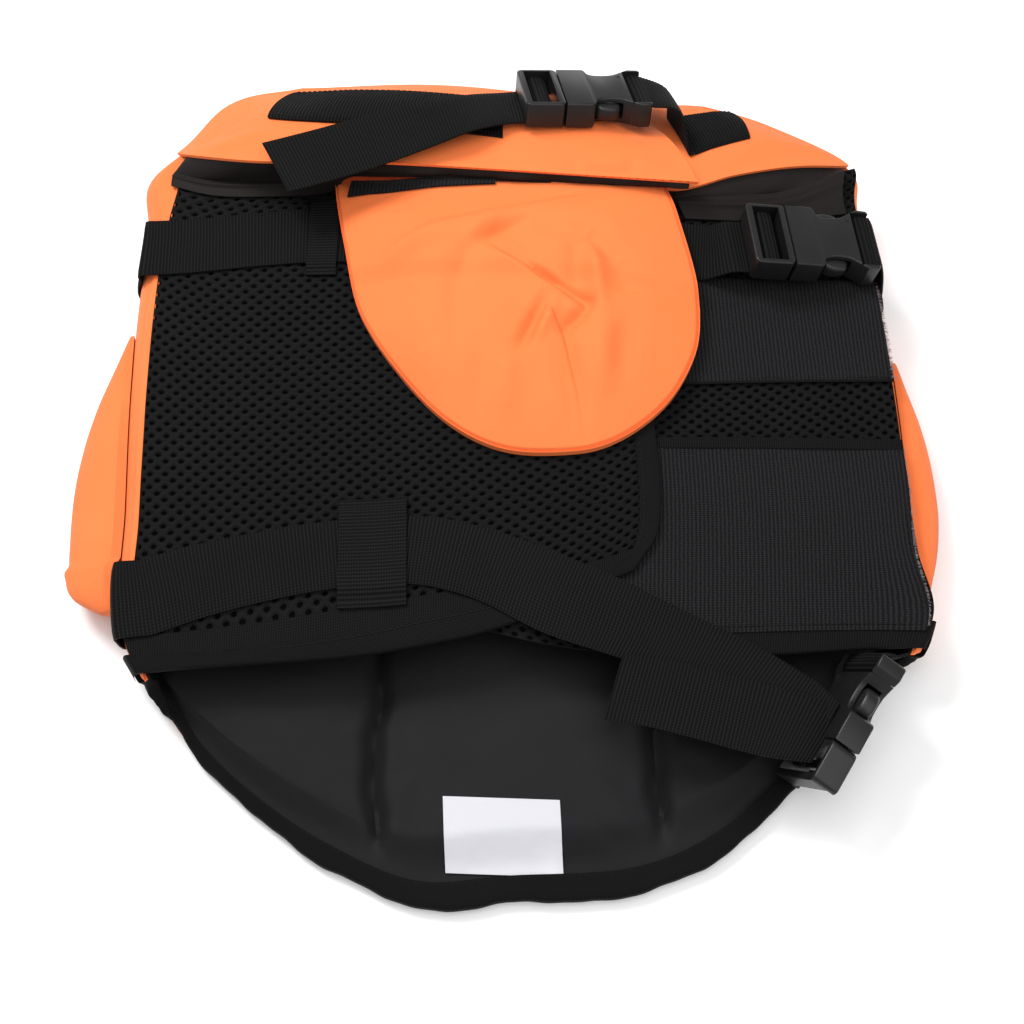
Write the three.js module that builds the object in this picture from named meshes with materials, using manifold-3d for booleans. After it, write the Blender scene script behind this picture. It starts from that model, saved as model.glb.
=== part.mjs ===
// Dog life jacket lying on its back, belly side up, neck towards +Y.
// Units are millimetres, +Z is up, and the back of the jacket rests on z = 0.

import * as THREE from 'three';
import { mergeVertices } from 'three/addons/utils/BufferGeometryUtils.js';
import Module from 'manifold-3d';

// Driving dimensions
const CENTRE = { x: -4.296, y: 37.5 };    // middle of the jacket's plan, which becomes the origin
const SEAM_GAP = 0.35;                // between cloth pieces that are sewn together
const LAY_GAP = 0.6;                  // between a piece and the panel that it lies on
const CLOTH = 2.0;                    // orange cloth with its backing
const LINING = 1.3;                   // black lining cloth where it has no foam
const FOAM = 12.5;                    // the lining's foam pads at their thickest
const MESH = 3.0;                     // spacer mesh of the belly panels
const LOOP_CLOTH = 1.0;               // loop fastener cloth
const TAPE = { tail: 1.3, belly: 0.9 };   // folded binding tape, thinner on the belly
const SQUEEZE = 0.9;                  // how far the tape presses each face of the mesh in
const WEBBING = 1.9;
const WEBBING_WIDTH = 39;
const SIDE_HEIGHT = 41;               // side walls of the tube
const ROLL_ANGLE = THREE.MathUtils.degToRad(140);   // how far a side wall curls inwards
const BUCKLE = { width: 46, depth: 16, male: 25, female: 53 };

const COLOURS = {
  orange: 0xff7f3f, lining: 0x232325, mesh: 0x1c1c1d, loop: 0x202024,
  tape: 0x1b1b1b, webbing: 0x1d1d1e, buckle: 0x2c2c2e, label: 0xe8e8ec,
};

// Small helpers
const clamp01 = (t) => Math.min(1, Math.max(0, t));
const mix = (a, b, t) => a + (b - a) * t;
const ease = (t) => clamp01(t) ** 2 * (3 - 2 * clamp01(t));
const bump = (d, width) => Math.exp(-((d / width) ** 2));
const steps = (count) => Array.from({ length: count + 1 }, (_, i) => i / count);

// A smooth value from a table of { at, value } rows.
function table(rows) {
  return (at) => {
    if (at <= rows[0].at) return rows[0].value;
    for (let i = 1; i < rows.length; i++) {
      if (at > rows[i].at) continue;
      const t = (at - rows[i - 1].at) / (rows[i].at - rows[i - 1].at);
      return mix(rows[i - 1].value, rows[i].value, ease(t));
    }
    return rows.at(-1).value;
  };
}

// A smooth line through a table of { x, y, z } rows, walked by the share of its length.
function line(rows) {
  const points = rows.map((r) => new THREE.Vector3(r.x, r.y, r.z ?? 0));
  const curve = new THREE.CatmullRomCurve3(points, false, 'centripetal');
  curve.arcLengthDivisions = 400;
  return (t) => curve.getPointAt(clamp01(t));
}

// The surface between four lines that meet at their ends.
function patch({ bottom, top, left, right }) {
  const corner = [left(0), right(0), left(1), right(1)];
  return (a, b) => {
    const along = bottom(a).multiplyScalar(1 - b).addScaledVector(top(a), b);
    const across = left(b).multiplyScalar(1 - a).addScaledVector(right(b), a);
    const twist = corner[0].clone().multiplyScalar((1 - a) * (1 - b))
      .addScaledVector(corner[1], a * (1 - b))
      .addScaledVector(corner[2], (1 - a) * b)
      .addScaledVector(corner[3], a * b);
    return along.add(across).sub(twist);
  };
}

// A grid of points: one row for each b, one column for each a.
const gridOf = (surface, as, bs) => bs.map((b) => as.map((a) => surface(a, b)));

// Upward normals of a surface at the points of its grid.
function normalsOf(surface, as, bs, small = 0.002) {
  return gridOf((a, b) => {
    const a0 = Math.max(0, a - small);
    const a1 = Math.min(1, a + small);
    const b0 = Math.max(0, b - small);
    const b1 = Math.min(1, b + small);
    const da = surface(a1, b).sub(surface(a0, b));
    const db = surface(a, b1).sub(surface(a, b0));
    return da.cross(db).normalize();
  }, as, bs);
}

const offsetGrid = (grid, normals, by) => grid.map((row, j) => row.map((p, i) => (
  p.clone().addScaledVector(normals[j][i], typeof by === 'function' ? by(i, j) : by))));
const raiseGrid = (grid, by) => (
  grid.map((row) => row.map((p) => new THREE.Vector3(p.x, p.y, p.z + by))));

// Turns points and triangles into a closed mesh geometry with its faces outwards.
function solidFrom(points, triangles) {
  let volume = 0;
  for (const [a, b, c] of triangles) {
    volume += points[a].dot(points[b].clone().cross(points[c]));
  }
  const index = triangles.flatMap(([a, b, c]) => (volume > 0 ? [a, b, c] : [a, c, b]));
  const geometry = new THREE.BufferGeometry();
  geometry.setAttribute('position', new THREE.Float32BufferAttribute(points.flatMap((p) => p.toArray()), 3));
  geometry.setIndex(index);
  return geometry;
}

// A closed wall between two grids of the same size.
function wall(upper, lower) {
  const rows = upper.length;
  const cols = upper[0].length;
  const points = [...upper.flat(), ...lower.flat()];
  const at = (side, j, i) => side * rows * cols + j * cols + i;
  const triangles = [];
  const quad = (a, b, c, d) => triangles.push([a, b, c], [a, c, d]);
  for (let j = 0; j < rows - 1; j++) {
    for (let i = 0; i < cols - 1; i++) {
      quad(at(0, j, i), at(0, j, i + 1), at(0, j + 1, i + 1), at(0, j + 1, i));
      quad(at(1, j, i), at(1, j + 1, i), at(1, j + 1, i + 1), at(1, j, i + 1));
    }
  }
  for (let i = 0; i < cols - 1; i++) {
    quad(at(1, 0, i), at(1, 0, i + 1), at(0, 0, i + 1), at(0, 0, i));
    quad(at(0, rows - 1, i), at(0, rows - 1, i + 1), at(1, rows - 1, i + 1), at(1, rows - 1, i));
  }
  for (let j = 0; j < rows - 1; j++) {
    quad(at(0, j, 0), at(0, j + 1, 0), at(1, j + 1, 0), at(1, j, 0));
    quad(at(1, j, cols - 1), at(1, j + 1, cols - 1), at(0, j + 1, cols - 1), at(0, j, cols - 1));
  }
  return solidFrom(points, triangles);
}

// A closed solid through rings of points, each end closed to the middle of its ring.
function loft(rings) {
  const count = rings[0].length;
  const middle = (ring) => ring.reduce((sum, p) => sum.add(p), new THREE.Vector3()).divideScalar(count);
  const points = [...rings.flat(), middle(rings[0]), middle(rings.at(-1))];
  const at = (j, i) => j * count + (i % count);
  const triangles = [];
  for (let j = 0; j < rings.length - 1; j++) {
    for (let i = 0; i < count; i++) {
      triangles.push([at(j, i), at(j, i + 1), at(j + 1, i + 1)], [at(j, i), at(j + 1, i + 1), at(j + 1, i)]);
    }
  }
  const last = rings.length - 1;
  for (let i = 0; i < count; i++) {
    triangles.push([points.length - 2, at(0, i + 1), at(0, i)]);
    triangles.push([points.length - 1, at(last, i), at(last, i + 1)]);
  }
  return solidFrom(points, triangles);
}

const jacket = new THREE.Group();
const ROUGHNESS = { cloth: 0.85, plastic: 0.45 };
const MATERIALS = Object.fromEntries(Object.entries(COLOURS).map(([name, color]) => {
  const roughness = name === 'buckle' ? ROUGHNESS.plastic : ROUGHNESS.cloth;
  return [name, new THREE.MeshStandardMaterial({ color, roughness, metalness: 0 })];
}));

function add(name, geometry, material) {
  const mesh = new THREE.Mesh(geometry, MATERIALS[material]);
  mesh.name = name;
  jacket.add(mesh);
}

// Outline of the back in plan
const tailEdge = line([
  { x: -204, y: -98 }, { x: -172, y: -140 }, { x: -135, y: -174 }, { x: -97, y: -199 },
  { x: -49, y: -219 }, { x: 0, y: -216 }, { x: 68, y: -211 }, { x: 109, y: -193 },
  { x: 157, y: -152 }, { x: 200, y: -106 }, { x: 222, y: -84 },
]);
const leftSide = line([
  { x: -204, y: -98 }, { x: -219, y: -63 }, { x: -223, y: 0 }, { x: -228, y: 78 },
  { x: -229, y: 160 }, { x: -224, y: 217 }, { x: -205, y: 248 }, { x: -172, y: 279 }, { x: -143, y: 292 },
]);
const rightSide = line([
  { x: 222, y: -84 }, { x: 229, y: -50 }, { x: 230, y: 20 }, { x: 229, y: 90 },
  { x: 224, y: 165 }, { x: 216, y: 216 }, { x: 206, y: 241 }, { x: 171, y: 264 }, { x: 132, y: 278 },
]);
const neckEdge = line([
  { x: -143, y: 292 }, { x: -60, y: 293 }, { x: 10, y: 290 }, { x: 75, y: 284 }, { x: 132, y: 278 },
]);
const plan = patch({ bottom: tailEdge, top: neckEdge, left: leftSide, right: rightSide });

// Back: an orange wall that lies flat and rolls up at both sides
const WALL_SHARE = 0.2;
const CHANNELS = { left: -75, right: 80 };
const FLAT_COLUMNS = [
  0, 0.07, 0.15, 0.23, 0.275, 0.31, 0.345, 0.42, 0.5, 0.58, 0.65, 0.69, 0.73, 0.82, 0.92, 1,
];
const WALL_STEPS = 5;
const backColumns = [
  ...steps(WALL_STEPS).slice(0, -1).map((t) => t * WALL_SHARE),
  ...FLAT_COLUMNS.map((t) => WALL_SHARE + t * (1 - 2 * WALL_SHARE)),
  ...steps(WALL_STEPS).slice(1).map((t) => 1 - WALL_SHARE + t * WALL_SHARE),
];
const TAPE_ROW = 0.027;
const backRows = [
  0, TAPE_ROW, 0.07, 0.12, 0.17, 0.22, 0.28, 0.35, 0.43, 0.51, 0.59, 0.67, 0.75, 0.82, 0.88, 0.94, 1,
];
const sideHeight = table([
  { at: -100, value: 38.5 }, { at: -30, value: SIDE_HEIGHT }, { at: 200, value: SIDE_HEIGHT },
  { at: 285, value: 44 },
]);
const edgeLift = table([{ at: 0, value: 3.2 }, { at: TAPE_ROW, value: 2.4 }, { at: 0.07, value: 0 }]);

const rollRadius = (height) => height / (1 - Math.cos(ROLL_ANGLE));

function backPoint(a, b) {
  const left = plan(0, b);
  const right = plan(1, b);
  const width = left.distanceTo(right);
  const radii = [rollRadius(sideHeight(left.y)), rollRadius(sideHeight(right.y))];
  const shares = radii.map((radius) => radius / width);
  const towards = (rim, inner, radius) => rim.clone().addScaledVector(inner.sub(rim).normalize(), radius);
  const feet = [towards(left, plan(0.1, b), radii[0]), towards(right, plan(0.9, b), radii[1])];
  const lift = edgeLift(b);
  if (a < WALL_SHARE || a > 1 - WALL_SHARE) {
    const side = a < 0.5 ? 0 : 1;
    const rim = side === 0 ? left : right;
    const foot = feet[side];
    const angle = ROLL_ANGLE * (1 - (side === 0 ? a : 1 - a) / WALL_SHARE);
    const point = foot.clone().addScaledVector(rim.sub(foot), Math.sin(angle));
    return point.setZ(radii[side] * (1 - Math.cos(angle)) + lift * (1 - angle / ROLL_ANGLE));
  }
  const across = (a - WALL_SHARE) / (1 - 2 * WALL_SHARE);
  const point = plan(mix(shares[0], 1 - shares[1], across), b);
  point.addScaledVector(feet[0].sub(plan(shares[0], b)), (1 - across) ** 3);
  point.addScaledVector(feet[1].sub(plan(1 - shares[1], b)), across ** 3);
  return point.setZ(lift);
}

const backGrid = gridOf(backPoint, backColumns, backRows);
const backNormals = normalsOf(backPoint, backColumns, backRows);
add('back_shell', wall(offsetGrid(backGrid, backNormals, CLOTH), backGrid), 'orange');

// A point of a side wall's outer face, a gap away from it, by its y and its angle of roll
function wallPoint(side, y, angle, gap) {
  const a = (share) => (side < 0 ? share : 1 - share);
  const column = a(WALL_SHARE * (1 - angle / ROLL_ANGLE));
  let low = 0;
  let high = 1;
  for (let k = 0; k < 24; k++) {
    const b = (low + high) / 2;
    if (backPoint(column, b).y < y) low = b;
    else high = b;
  }
  const [[inwards]] = normalsOf(backPoint, [column], [low]);
  return backPoint(column, low).addScaledVector(inwards, -gap);
}
const angleAt = (z, y) => Math.acos(1 - z / rollRadius(sideHeight(y)));

// Lining: quilted over three foam pads, which end before the tape and the side walls
const PAD_EDGE = 34;
const PAD_TOP_ROW = 0.8;
const PAD_SPAN = { across: 640, along: 420 };   // plan size of the whole grid, to turn shares into lengths
const CHANNEL_WIDTH = 11;
const CHANNEL_DEPTH = 0.88;

function foamAt(a, b) {
  const p = backPoint(a, b);
  const fromSide = Math.min(a - WALL_SHARE, 1 - WALL_SHARE - a) * PAD_SPAN.across;
  const fromTail = (b - TAPE_ROW) * PAD_SPAN.along;
  const fromNeck = (PAD_TOP_ROW - b) * PAD_SPAN.along;
  const rise = ease(fromSide / PAD_EDGE) * ease(fromTail / PAD_EDGE) * ease(fromNeck / PAD_EDGE);
  const left = 1 - CHANNEL_DEPTH * bump(p.x - CHANNELS.left, CHANNEL_WIDTH);
  const right = 1 - CHANNEL_DEPTH * bump(p.x - CHANNELS.right, CHANNEL_WIDTH);
  return LINING + FOAM * rise * left * right;
}

const liningBase = CLOTH + SEAM_GAP;
const liningLift = (i, j) => liningBase + foamAt(backColumns[i], backRows[j]);
const liningTop = offsetGrid(backGrid, backNormals, liningLift);
add('back_lining', wall(liningTop, offsetGrid(backGrid, backNormals, liningBase)), 'lining');

// Tape folded round an edge: rows hold the edge and a line inside it, on both faces
function foldedTape(rows, thick, gap = SEAM_GAP) {
  const layer = (out) => rows.map(({ lowIn, lowEdge, highEdge, highIn, up, upIn }) => {
    const outwards = lowEdge.clone().sub(lowIn).normalize();
    return [
      lowIn.clone().addScaledVector(upIn, -out),
      lowEdge.clone().addScaledVector(up, -out).addScaledVector(outwards, out * 0.7),
      lowEdge.clone().addScaledVector(outwards, out + 0.2),
      highEdge.clone().addScaledVector(outwards, out + 0.2),
      highEdge.clone().addScaledVector(up, out).addScaledVector(outwards, out * 0.7),
      highIn.clone().addScaledVector(upIn, out),
    ];
  });
  return wall(layer(gap + thick), layer(gap));
}

const TAIL_TAPE_GAP = 0.9;
add('tail_binding', foldedTape(backColumns.slice(1, -1).map((_, i) => ({
  lowIn: backGrid[1][i + 1],
  lowEdge: backGrid[0][i + 1],
  highEdge: liningTop[0][i + 1],
  highIn: liningTop[1][i + 1],
  up: backNormals[0][i + 1],
  upIn: backNormals[1][i + 1],
})), TAPE.tail, TAIL_TAPE_GAP), 'tape');

// Belly: two mesh panels that close the tube, the left over the right
const BELLY = { middle: 1, half: 224, rise: 0.6 };
const crown = table([
  { at: -100, value: 3 }, { at: -50, value: 7 }, { at: 10, value: 10 }, { at: 100, value: 11 },
  { at: 220, value: 9 },
]);
const RIGHT_PANEL_EDGE = -28;
const LOOP_EDGE = 42;

const bellyHeight = (x, y) => (
  sideHeight(y) + BELLY.rise + crown(y) * (1 - clamp01(((x - BELLY.middle) / BELLY.half) ** 2)));
const overlapRise = (x) => (
  (MESH + LAY_GAP) * ease((x - RIGHT_PANEL_EDGE + 54) / 42)
  + (LOOP_CLOTH + LAY_GAP) * ease((x - LOOP_EDGE + 38) / 34));
const rightTop = (x, y) => bellyHeight(x, y) + MESH;
const leftTop = (x, y) => bellyHeight(x, y) + overlapRise(x) + MESH;

const wallTop = (side) => (t) => backPoint(side, t);
const panelSide = (side, from, to, inset) => (t) => {
  const p = wallTop(side)(mix(from, to, t));
  return p.setX(p.x - inset).setZ(0);
};

const leftPanelSide = panelSide(0, 0.012, 0.79, 1.5);
const leftPanelPlan = patch({
  left: leftPanelSide,
  bottom: line([
    { ...leftPanelSide(0) }, { x: -89, y: -84 }, { x: -7, y: -72 }, { x: 40, y: -58 }, { x: 66, y: -46 },
  ]),
  right: line([
    { x: 66, y: -46 }, { x: 79, y: -26 }, { x: 82, y: 10 }, { x: 79, y: 60 }, { x: 82, y: 130 },
    { x: 86, y: 208 },
  ]),
  top: line([{ ...leftPanelSide(1) }, { x: -160, y: 221 }, { x: -60, y: 214 }, { x: 86, y: 208 }]),
});
const LEFT_TAPE = { column: 0.962, row: 0.042 };
const leftColumns = [
  0, 0.08, 0.17, 0.27, 0.37, 0.46, 0.52, 0.58, 0.64, 0.71, 0.77, 0.83, 0.89, LEFT_TAPE.column, 1,
];
const leftRows = [0, LEFT_TAPE.row, ...steps(10).slice(1).map((t) => mix(LEFT_TAPE.row, 1, t))];
const onPlan = (planPatch, height) => (a, b) => {
  const p = planPatch(a, b);
  return p.setZ(height(p.x, p.y));
};
// The panel's two faces, pressed in where squeezed(a, b) says that tape is folded over them
function panelFaces(planPatch, height, as, bs, squeezed) {
  const face = (sign, drop) => gridOf((a, b) => {
    const p = onPlan(planPatch, height)(a, b);
    return p.setZ(p.z - drop - sign * (squeezed(a, b) ? SQUEEZE : 0));
  }, as, bs);
  return [face(1, 0), face(-1, MESH)];
}
const [leftPanelTop, leftPanelLow] = panelFaces(leftPanelPlan, leftTop, leftColumns, leftRows,
  (a, b) => b <= LEFT_TAPE.row || a >= LEFT_TAPE.column);
add('belly_left', wall(leftPanelTop, leftPanelLow), 'mesh');

// The left panel's tape runs along its lower edge and up its free right edge
const UP = new THREE.Vector3(0, 0, 1);
const lastLeft = leftColumns.length - 1;
const tapeRow = (top, low, edge, inner) => ({
  lowIn: low[inner[0]][inner[1]],
  lowEdge: low[edge[0]][edge[1]],
  highEdge: top[edge[0]][edge[1]],
  highIn: top[inner[0]][inner[1]],
  up: UP,
  upIn: UP,
});
const leftTapeRows = [
  ...leftColumns.slice(1, -1).map((_, i) => tapeRow(leftPanelTop, leftPanelLow, [0, i + 1], [1, i + 1])),
  tapeRow(leftPanelTop, leftPanelLow, [0, lastLeft], [1, lastLeft - 1]),
  ...leftRows.slice(1, -1).map((_, j) => (
    tapeRow(leftPanelTop, leftPanelLow, [j + 1, lastLeft], [j + 1, lastLeft - 1]))),
];
add('belly_left_binding', foldedTape(leftTapeRows, TAPE.belly), 'tape');

const rightPanelSide = panelSide(1, 0.012, 0.78, -1.5);
const RIGHT_PANEL_LOW = { x: RIGHT_PANEL_EDGE, y: -70 };
const RIGHT_PANEL_HIGH = { x: RIGHT_PANEL_EDGE, y: 196 };
const rightPanelPlan = patch({
  left: line([RIGHT_PANEL_LOW, { x: RIGHT_PANEL_EDGE, y: 60 }, RIGHT_PANEL_HIGH]),
  bottom: line([RIGHT_PANEL_LOW, { x: 57, y: -88 }, { x: 127, y: -90 }, { ...rightPanelSide(0) }]),
  right: rightPanelSide,
  top: line([RIGHT_PANEL_HIGH, { x: 100, y: 198 }, { ...rightPanelSide(1) }]),
});
const RIGHT_TAPE_ROW = 0.045;
const rightColumns = steps(11);
const rightRows = [0, RIGHT_TAPE_ROW, ...steps(9).slice(1).map((t) => mix(RIGHT_TAPE_ROW, 1, t))];
const [rightPanelTop, rightPanelLow] = panelFaces(rightPanelPlan, rightTop, rightColumns, rightRows,
  (a, b) => b <= RIGHT_TAPE_ROW);
add('belly_right', wall(rightPanelTop, rightPanelLow), 'mesh');
const RIGHT_TAPE_FROM = 6;
const rightTapeRows = rightColumns.slice(RIGHT_TAPE_FROM, -1).map((_, i) => (
  tapeRow(rightPanelTop, rightPanelLow, [0, i + RIGHT_TAPE_FROM], [1, i + RIGHT_TAPE_FROM])));
add('belly_right_binding', foldedTape(rightTapeRows, TAPE.belly), 'tape');

// Loop fastener cloth on the right panel
function layOn(planPatch, height, thickness, as, bs, gap = LAY_GAP) {
  const low = gridOf(onPlan(planPatch, (x, y) => height(x, y) + gap), as, bs);
  return wall(raiseGrid(low, thickness), low);
}
const loopPlan = (lower, upper) => patch({
  left: line([{ x: LOOP_EDGE, y: lower.left }, { x: LOOP_EDGE, y: upper.left }]),
  right: line([{ x: lower.x, y: lower.right }, { x: upper.x, y: upper.right }]),
  bottom: line([{ x: LOOP_EDGE, y: lower.left }, { x: lower.x, y: lower.right }]),
  top: line([{ x: LOOP_EDGE, y: upper.left }, { x: upper.x, y: upper.right }]),
});
const LOOPS = {
  loop_panel_upper: loopPlan({ x: 219, left: 68, right: 78 }, { x: 216, left: 142, right: 146 }),
  loop_panel_lower: loopPlan({ x: 219, left: -64, right: -64 }, { x: 220, left: 34, right: 38 }),
};
for (const [name, shape] of Object.entries(LOOPS)) {
  add(name, layOn(shape, rightTop, LOOP_CLOTH, steps(9), steps(5)), 'loop');
}

// Side floats: puffed paddles sewn along the rounded sides
const FLOATS = {
  side_float_left: { side: -1, edge: [
    { at: -60, value: 5 }, { at: -46, value: 19 }, { at: -20, value: 31 }, { at: 15, value: 32 },
    { at: 55, value: 24 }, { at: 95, value: 11 }, { at: 119, value: 3 }] },
  side_float_right: { side: 1, edge: [
    { at: -46, value: 4 }, { at: -36, value: 9 }, { at: -8, value: 16 }, { at: 25, value: 17 },
    { at: 58, value: 13 }, { at: 86, value: 6 }, { at: 100, value: 3 }] },
};
const FLOAT_HALF_HEIGHT = 15;
const FLOAT_MIDDLE = 19;
const FLOAT_SECTIONS = 13;
const FLOAT_RING = 7;
const FLOAT_GAP = 0.8;
const FLOAT_TIP = { half: 4, rise: 5 };   // half height of a float's ends, and their lift over its middle
const FLOAT_ROUNDNESS = 0.8;
const STRAP_ROOM = { from: -30, over: 6, gap: 3.6 };   // where the lower strap runs behind the left float

function floatPad({ side, edge }) {
  const reach = table(edge);
  const strapRoom = side < 0 ? STRAP_ROOM.gap : 0;
  const gapAt = (y) => FLOAT_GAP + strapRoom * ease((STRAP_ROOM.from - y) / STRAP_ROOM.over);
  const from = edge[0].at;
  const to = edge.at(-1).at;
  const rings = steps(FLOAT_SECTIONS).map((t) => {
    const y = mix(from, to, t);
    const fullness = Math.sqrt(Math.max(0, 1 - (2 * t - 1) ** 4));
    const half = mix(FLOAT_TIP.half, FLOAT_HALF_HEIGHT, fullness);
    const middle = mix(FLOAT_MIDDLE + FLOAT_TIP.rise, FLOAT_MIDDLE, fullness);
    const inner = steps(6).map((k) => {
      const z = middle + half * (1 - 2 * k);
      return wallPoint(side, y, angleAt(z, y), gapAt(y));
    });
    const outer = steps(FLOAT_RING).slice(1, -1).map((k) => {
      const angle = -Math.PI / 2 + Math.PI * k;
      const z = middle + half * Math.sin(angle);
      const root = wallPoint(side, y, angleAt(middle, y), gapAt(y));
      return new THREE.Vector3(root.x + side * reach(y) * Math.cos(angle) ** FLOAT_ROUNDNESS, y, z);
    });
    return [...inner, ...outer];
  });
  return loft(rings);
}
for (const [name, row] of Object.entries(FLOATS)) add(name, floatPad(row), 'orange');

// Places of the three buckles: a middle, the long direction and the width direction
const BUCKLES = {
  neck: { middle: [43.7, 259.2, 78.4], along: [0.987, 0.1, -0.122], width: [-0.14, 0.911, -0.389] },
  upper: { middle: [177.8, 161.2, 64], along: [0.973, 0.057, -0.185], width: [-0.084, 0.99, -0.112] },
  lower: { middle: [175, -129, 41], along: [0.53, 0.836, 0.14], width: [-0.272, 0.325, -0.906] },
};
const BUCKLE_SHIFT = (BUCKLE.male - BUCKLE.female) / 2;

function buckleFrame({ middle, along, width }) {
  const x = new THREE.Vector3(...along).normalize();
  const z = x.clone().cross(new THREE.Vector3(...width)).normalize();
  const y = z.clone().cross(x);
  return new THREE.Matrix4().makeBasis(x, y, z).setPosition(new THREE.Vector3(...middle))
    .multiply(new THREE.Matrix4().makeTranslation(BUCKLE_SHIFT, 0, 0));
}
// Straps: webbing through rows of points, which run from its right edge to its left
const ACROSS = [-1, 0, 1].map((w) => w * WEBBING_WIDTH / 2);

function ribbon(rows) {
  const upper = rows.map((row, j) => row.map((p, i) => {
    const along = rows[Math.min(j + 1, rows.length - 1)][i].clone().sub(rows[Math.max(j - 1, 0)][i]);
    const across = row[row.length - 1].clone().sub(row[0]);
    return p.clone().addScaledVector(along.cross(across).normalize(), WEBBING);
  }));
  return wall(upper, rows);
}

// Rows of a ribbon that lies on a height over a plan line
function laidRows(path, height, count, from = 0, to = 1) {
  return steps(count).map((k) => {
    const t = mix(from, to, k);
    const p = path(t);
    const ahead = path(Math.min(1, t + 0.01)).sub(path(Math.max(0, t - 0.01))).setZ(0).normalize();
    return ACROSS.map((w) => {
      const x = p.x - ahead.y * w;
      const y = p.y + ahead.x * w;
      return new THREE.Vector3(x, y, height(x, y));
    });
  });
}

// Rows of a ribbon that comes up a side wall and over the edge of the belly panel
const WRAP_ANGLES = [50, 70, 90, 108].map(THREE.MathUtils.degToRad);
const WRAP_TOP = [{ outwards: 4.4, rise: -1.5 }, { outwards: 4.0, rise: 4.7 }];
function wrapRows(side, middle) {
  const rowAt = (place) => ACROSS.map((w) => place(middle + w));
  const onWall = WRAP_ANGLES.map((angle) => rowAt((y) => wallPoint(side, y, angle, LAY_GAP + 0.2)));
  const overEdge = WRAP_TOP.map(({ outwards, rise }) => rowAt((y) => {
    const p = wallPoint(side, y, ROLL_ANGLE, 0);
    return new THREE.Vector3(p.x + side * outwards, y, sideHeight(y) + rise);
  }));
  return [...onWall, ...overEdge];
}

// Rows of a ribbon in a buckle's own frame, from a table of places along and across its depth
function buckleRows(name, places) {
  const frame = buckleFrame(BUCKLES[name]);
  return places.map(({ x, z }) => ACROSS.map((w) => new THREE.Vector3(x, w, z).applyMatrix4(frame)));
}

// Rows of a ribbon through the air, from a table of middles and directions across
function freeRows(places) {
  return places.map(({ x, y, z, across }) => {
    const wide = new THREE.Vector3(...across).normalize();
    return ACROSS.map((w) => new THREE.Vector3(x, y, z).addScaledVector(wide, w));
  });
}

const CHIN_OVER_STRAP = WEBBING + LAY_GAP;
const UPPER_Y = 170;
const upperY = table([
  { at: -217, value: UPPER_Y }, { at: -117, value: 175 }, { at: 0, value: 171 }, { at: 115, value: 160 },
]);
const upperPath = line([-217, -190, -150, -117, -60, 0, 60, 115].map((x) => ({ x, y: upperY(x) })));
const strapHeight = (x, y) => leftTop(Math.min(x, 84), y) + LAY_GAP + 0.15 + 0.8 * ease((-x - 206) / 8);
const upperHeight = (x, y) => mix(strapHeight(x, y), 55.5, ease((x - 88) / 30));
const LADDER = [
  { x: -34, z: -7.4 }, { x: -27, z: -6.9 }, { x: -21.5, z: -6.4 }, { x: -18.6, z: -4.6 },
  { x: -17.2, z: 0.8 }, { x: -15.6, z: 3.0 }, { x: -12.8, z: 3.1 }, { x: -9.6, z: 2.2 }, { x: -8.3, z: -1.5 },
];
add('upper_strap_left', ribbon([
  ...wrapRows(-1, UPPER_Y),
  ...laidRows(upperPath, upperHeight, 26),
  ...buckleRows('upper', LADDER),
]), 'webbing');

const REAR_BAR = [
  { x: 44.3, z: -1.5 }, { x: 44.6, z: 2.4 }, { x: 46.6, z: 4.3 }, { x: 50, z: 4.4 }, { x: 54, z: 3.4 },
];
add('upper_strap_right', ribbon([
  ...buckleRows('upper', REAR_BAR),
  ...wrapRows(1, 158).toReversed(),
]), 'webbing');

const LOWER_Y = -58;
const lowerPath = line([
  { x: -201, y: -56 }, { x: -171, y: -48 }, { x: -101, y: -36 }, { x: -61, y: -34 }, { x: -18, y: -42 },
  { x: 27, y: -60 }, { x: 70, y: -79 }, { x: 113, y: -99 }, { x: 152, y: -126 },
]);
const LOWER_END_HEIGHT = 49;
const LOWER_SEAT = { x: 0.5, y: -8 };   // where the strap meets the buckle, in the buckle's frame
const lowerHeight = (x, y) => (
  mix(strapHeight(x, Math.max(y, -95)), LOWER_END_HEIGHT, ease((x - 60) / 60)));
add('lower_strap', ribbon([
  ...wrapRows(-1, LOWER_Y),
  ...laidRows(lowerPath, lowerHeight, 28),
  ACROSS.map((w) => (
    new THREE.Vector3(LOWER_SEAT.x + w, LOWER_SEAT.y, BUCKLE.depth / 2 + LAY_GAP)
      .applyMatrix4(buckleFrame(BUCKLES.lower)))),
]), 'webbing');

// The lower strap's folded free end, and the short strap from its buckle to the jacket's side
const FREE_END = [
  { x: 54, y: -113, z: 53.5 }, { x: 78, y: -117, z: 53.5 }, { x: 101, y: -123, z: 53.2 },
  { x: 122, y: -130, z: 53 }, { x: 143, y: -139, z: 52.6 },
];
const FREE_END_ACROSS = [0.28, 0.96, 0];
const BEHIND_BUCKLE = [
  { x: 200.5, y: -95.5, z: 44, across: [-0.25, 0.24, -0.93] },
  { x: 205, y: -94.5, z: 42, across: [-0.3, 0.16, -0.94] },
];
add('lower_strap_right', ribbon([...buckleRows('lower', REAR_BAR), ...freeRows(BEHIND_BUCKLE)]), 'webbing');
add('lower_strap_end', ribbon(freeRows(FREE_END.map((p) => ({ ...p, across: FREE_END_ACROSS })))), 'webbing');

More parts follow.
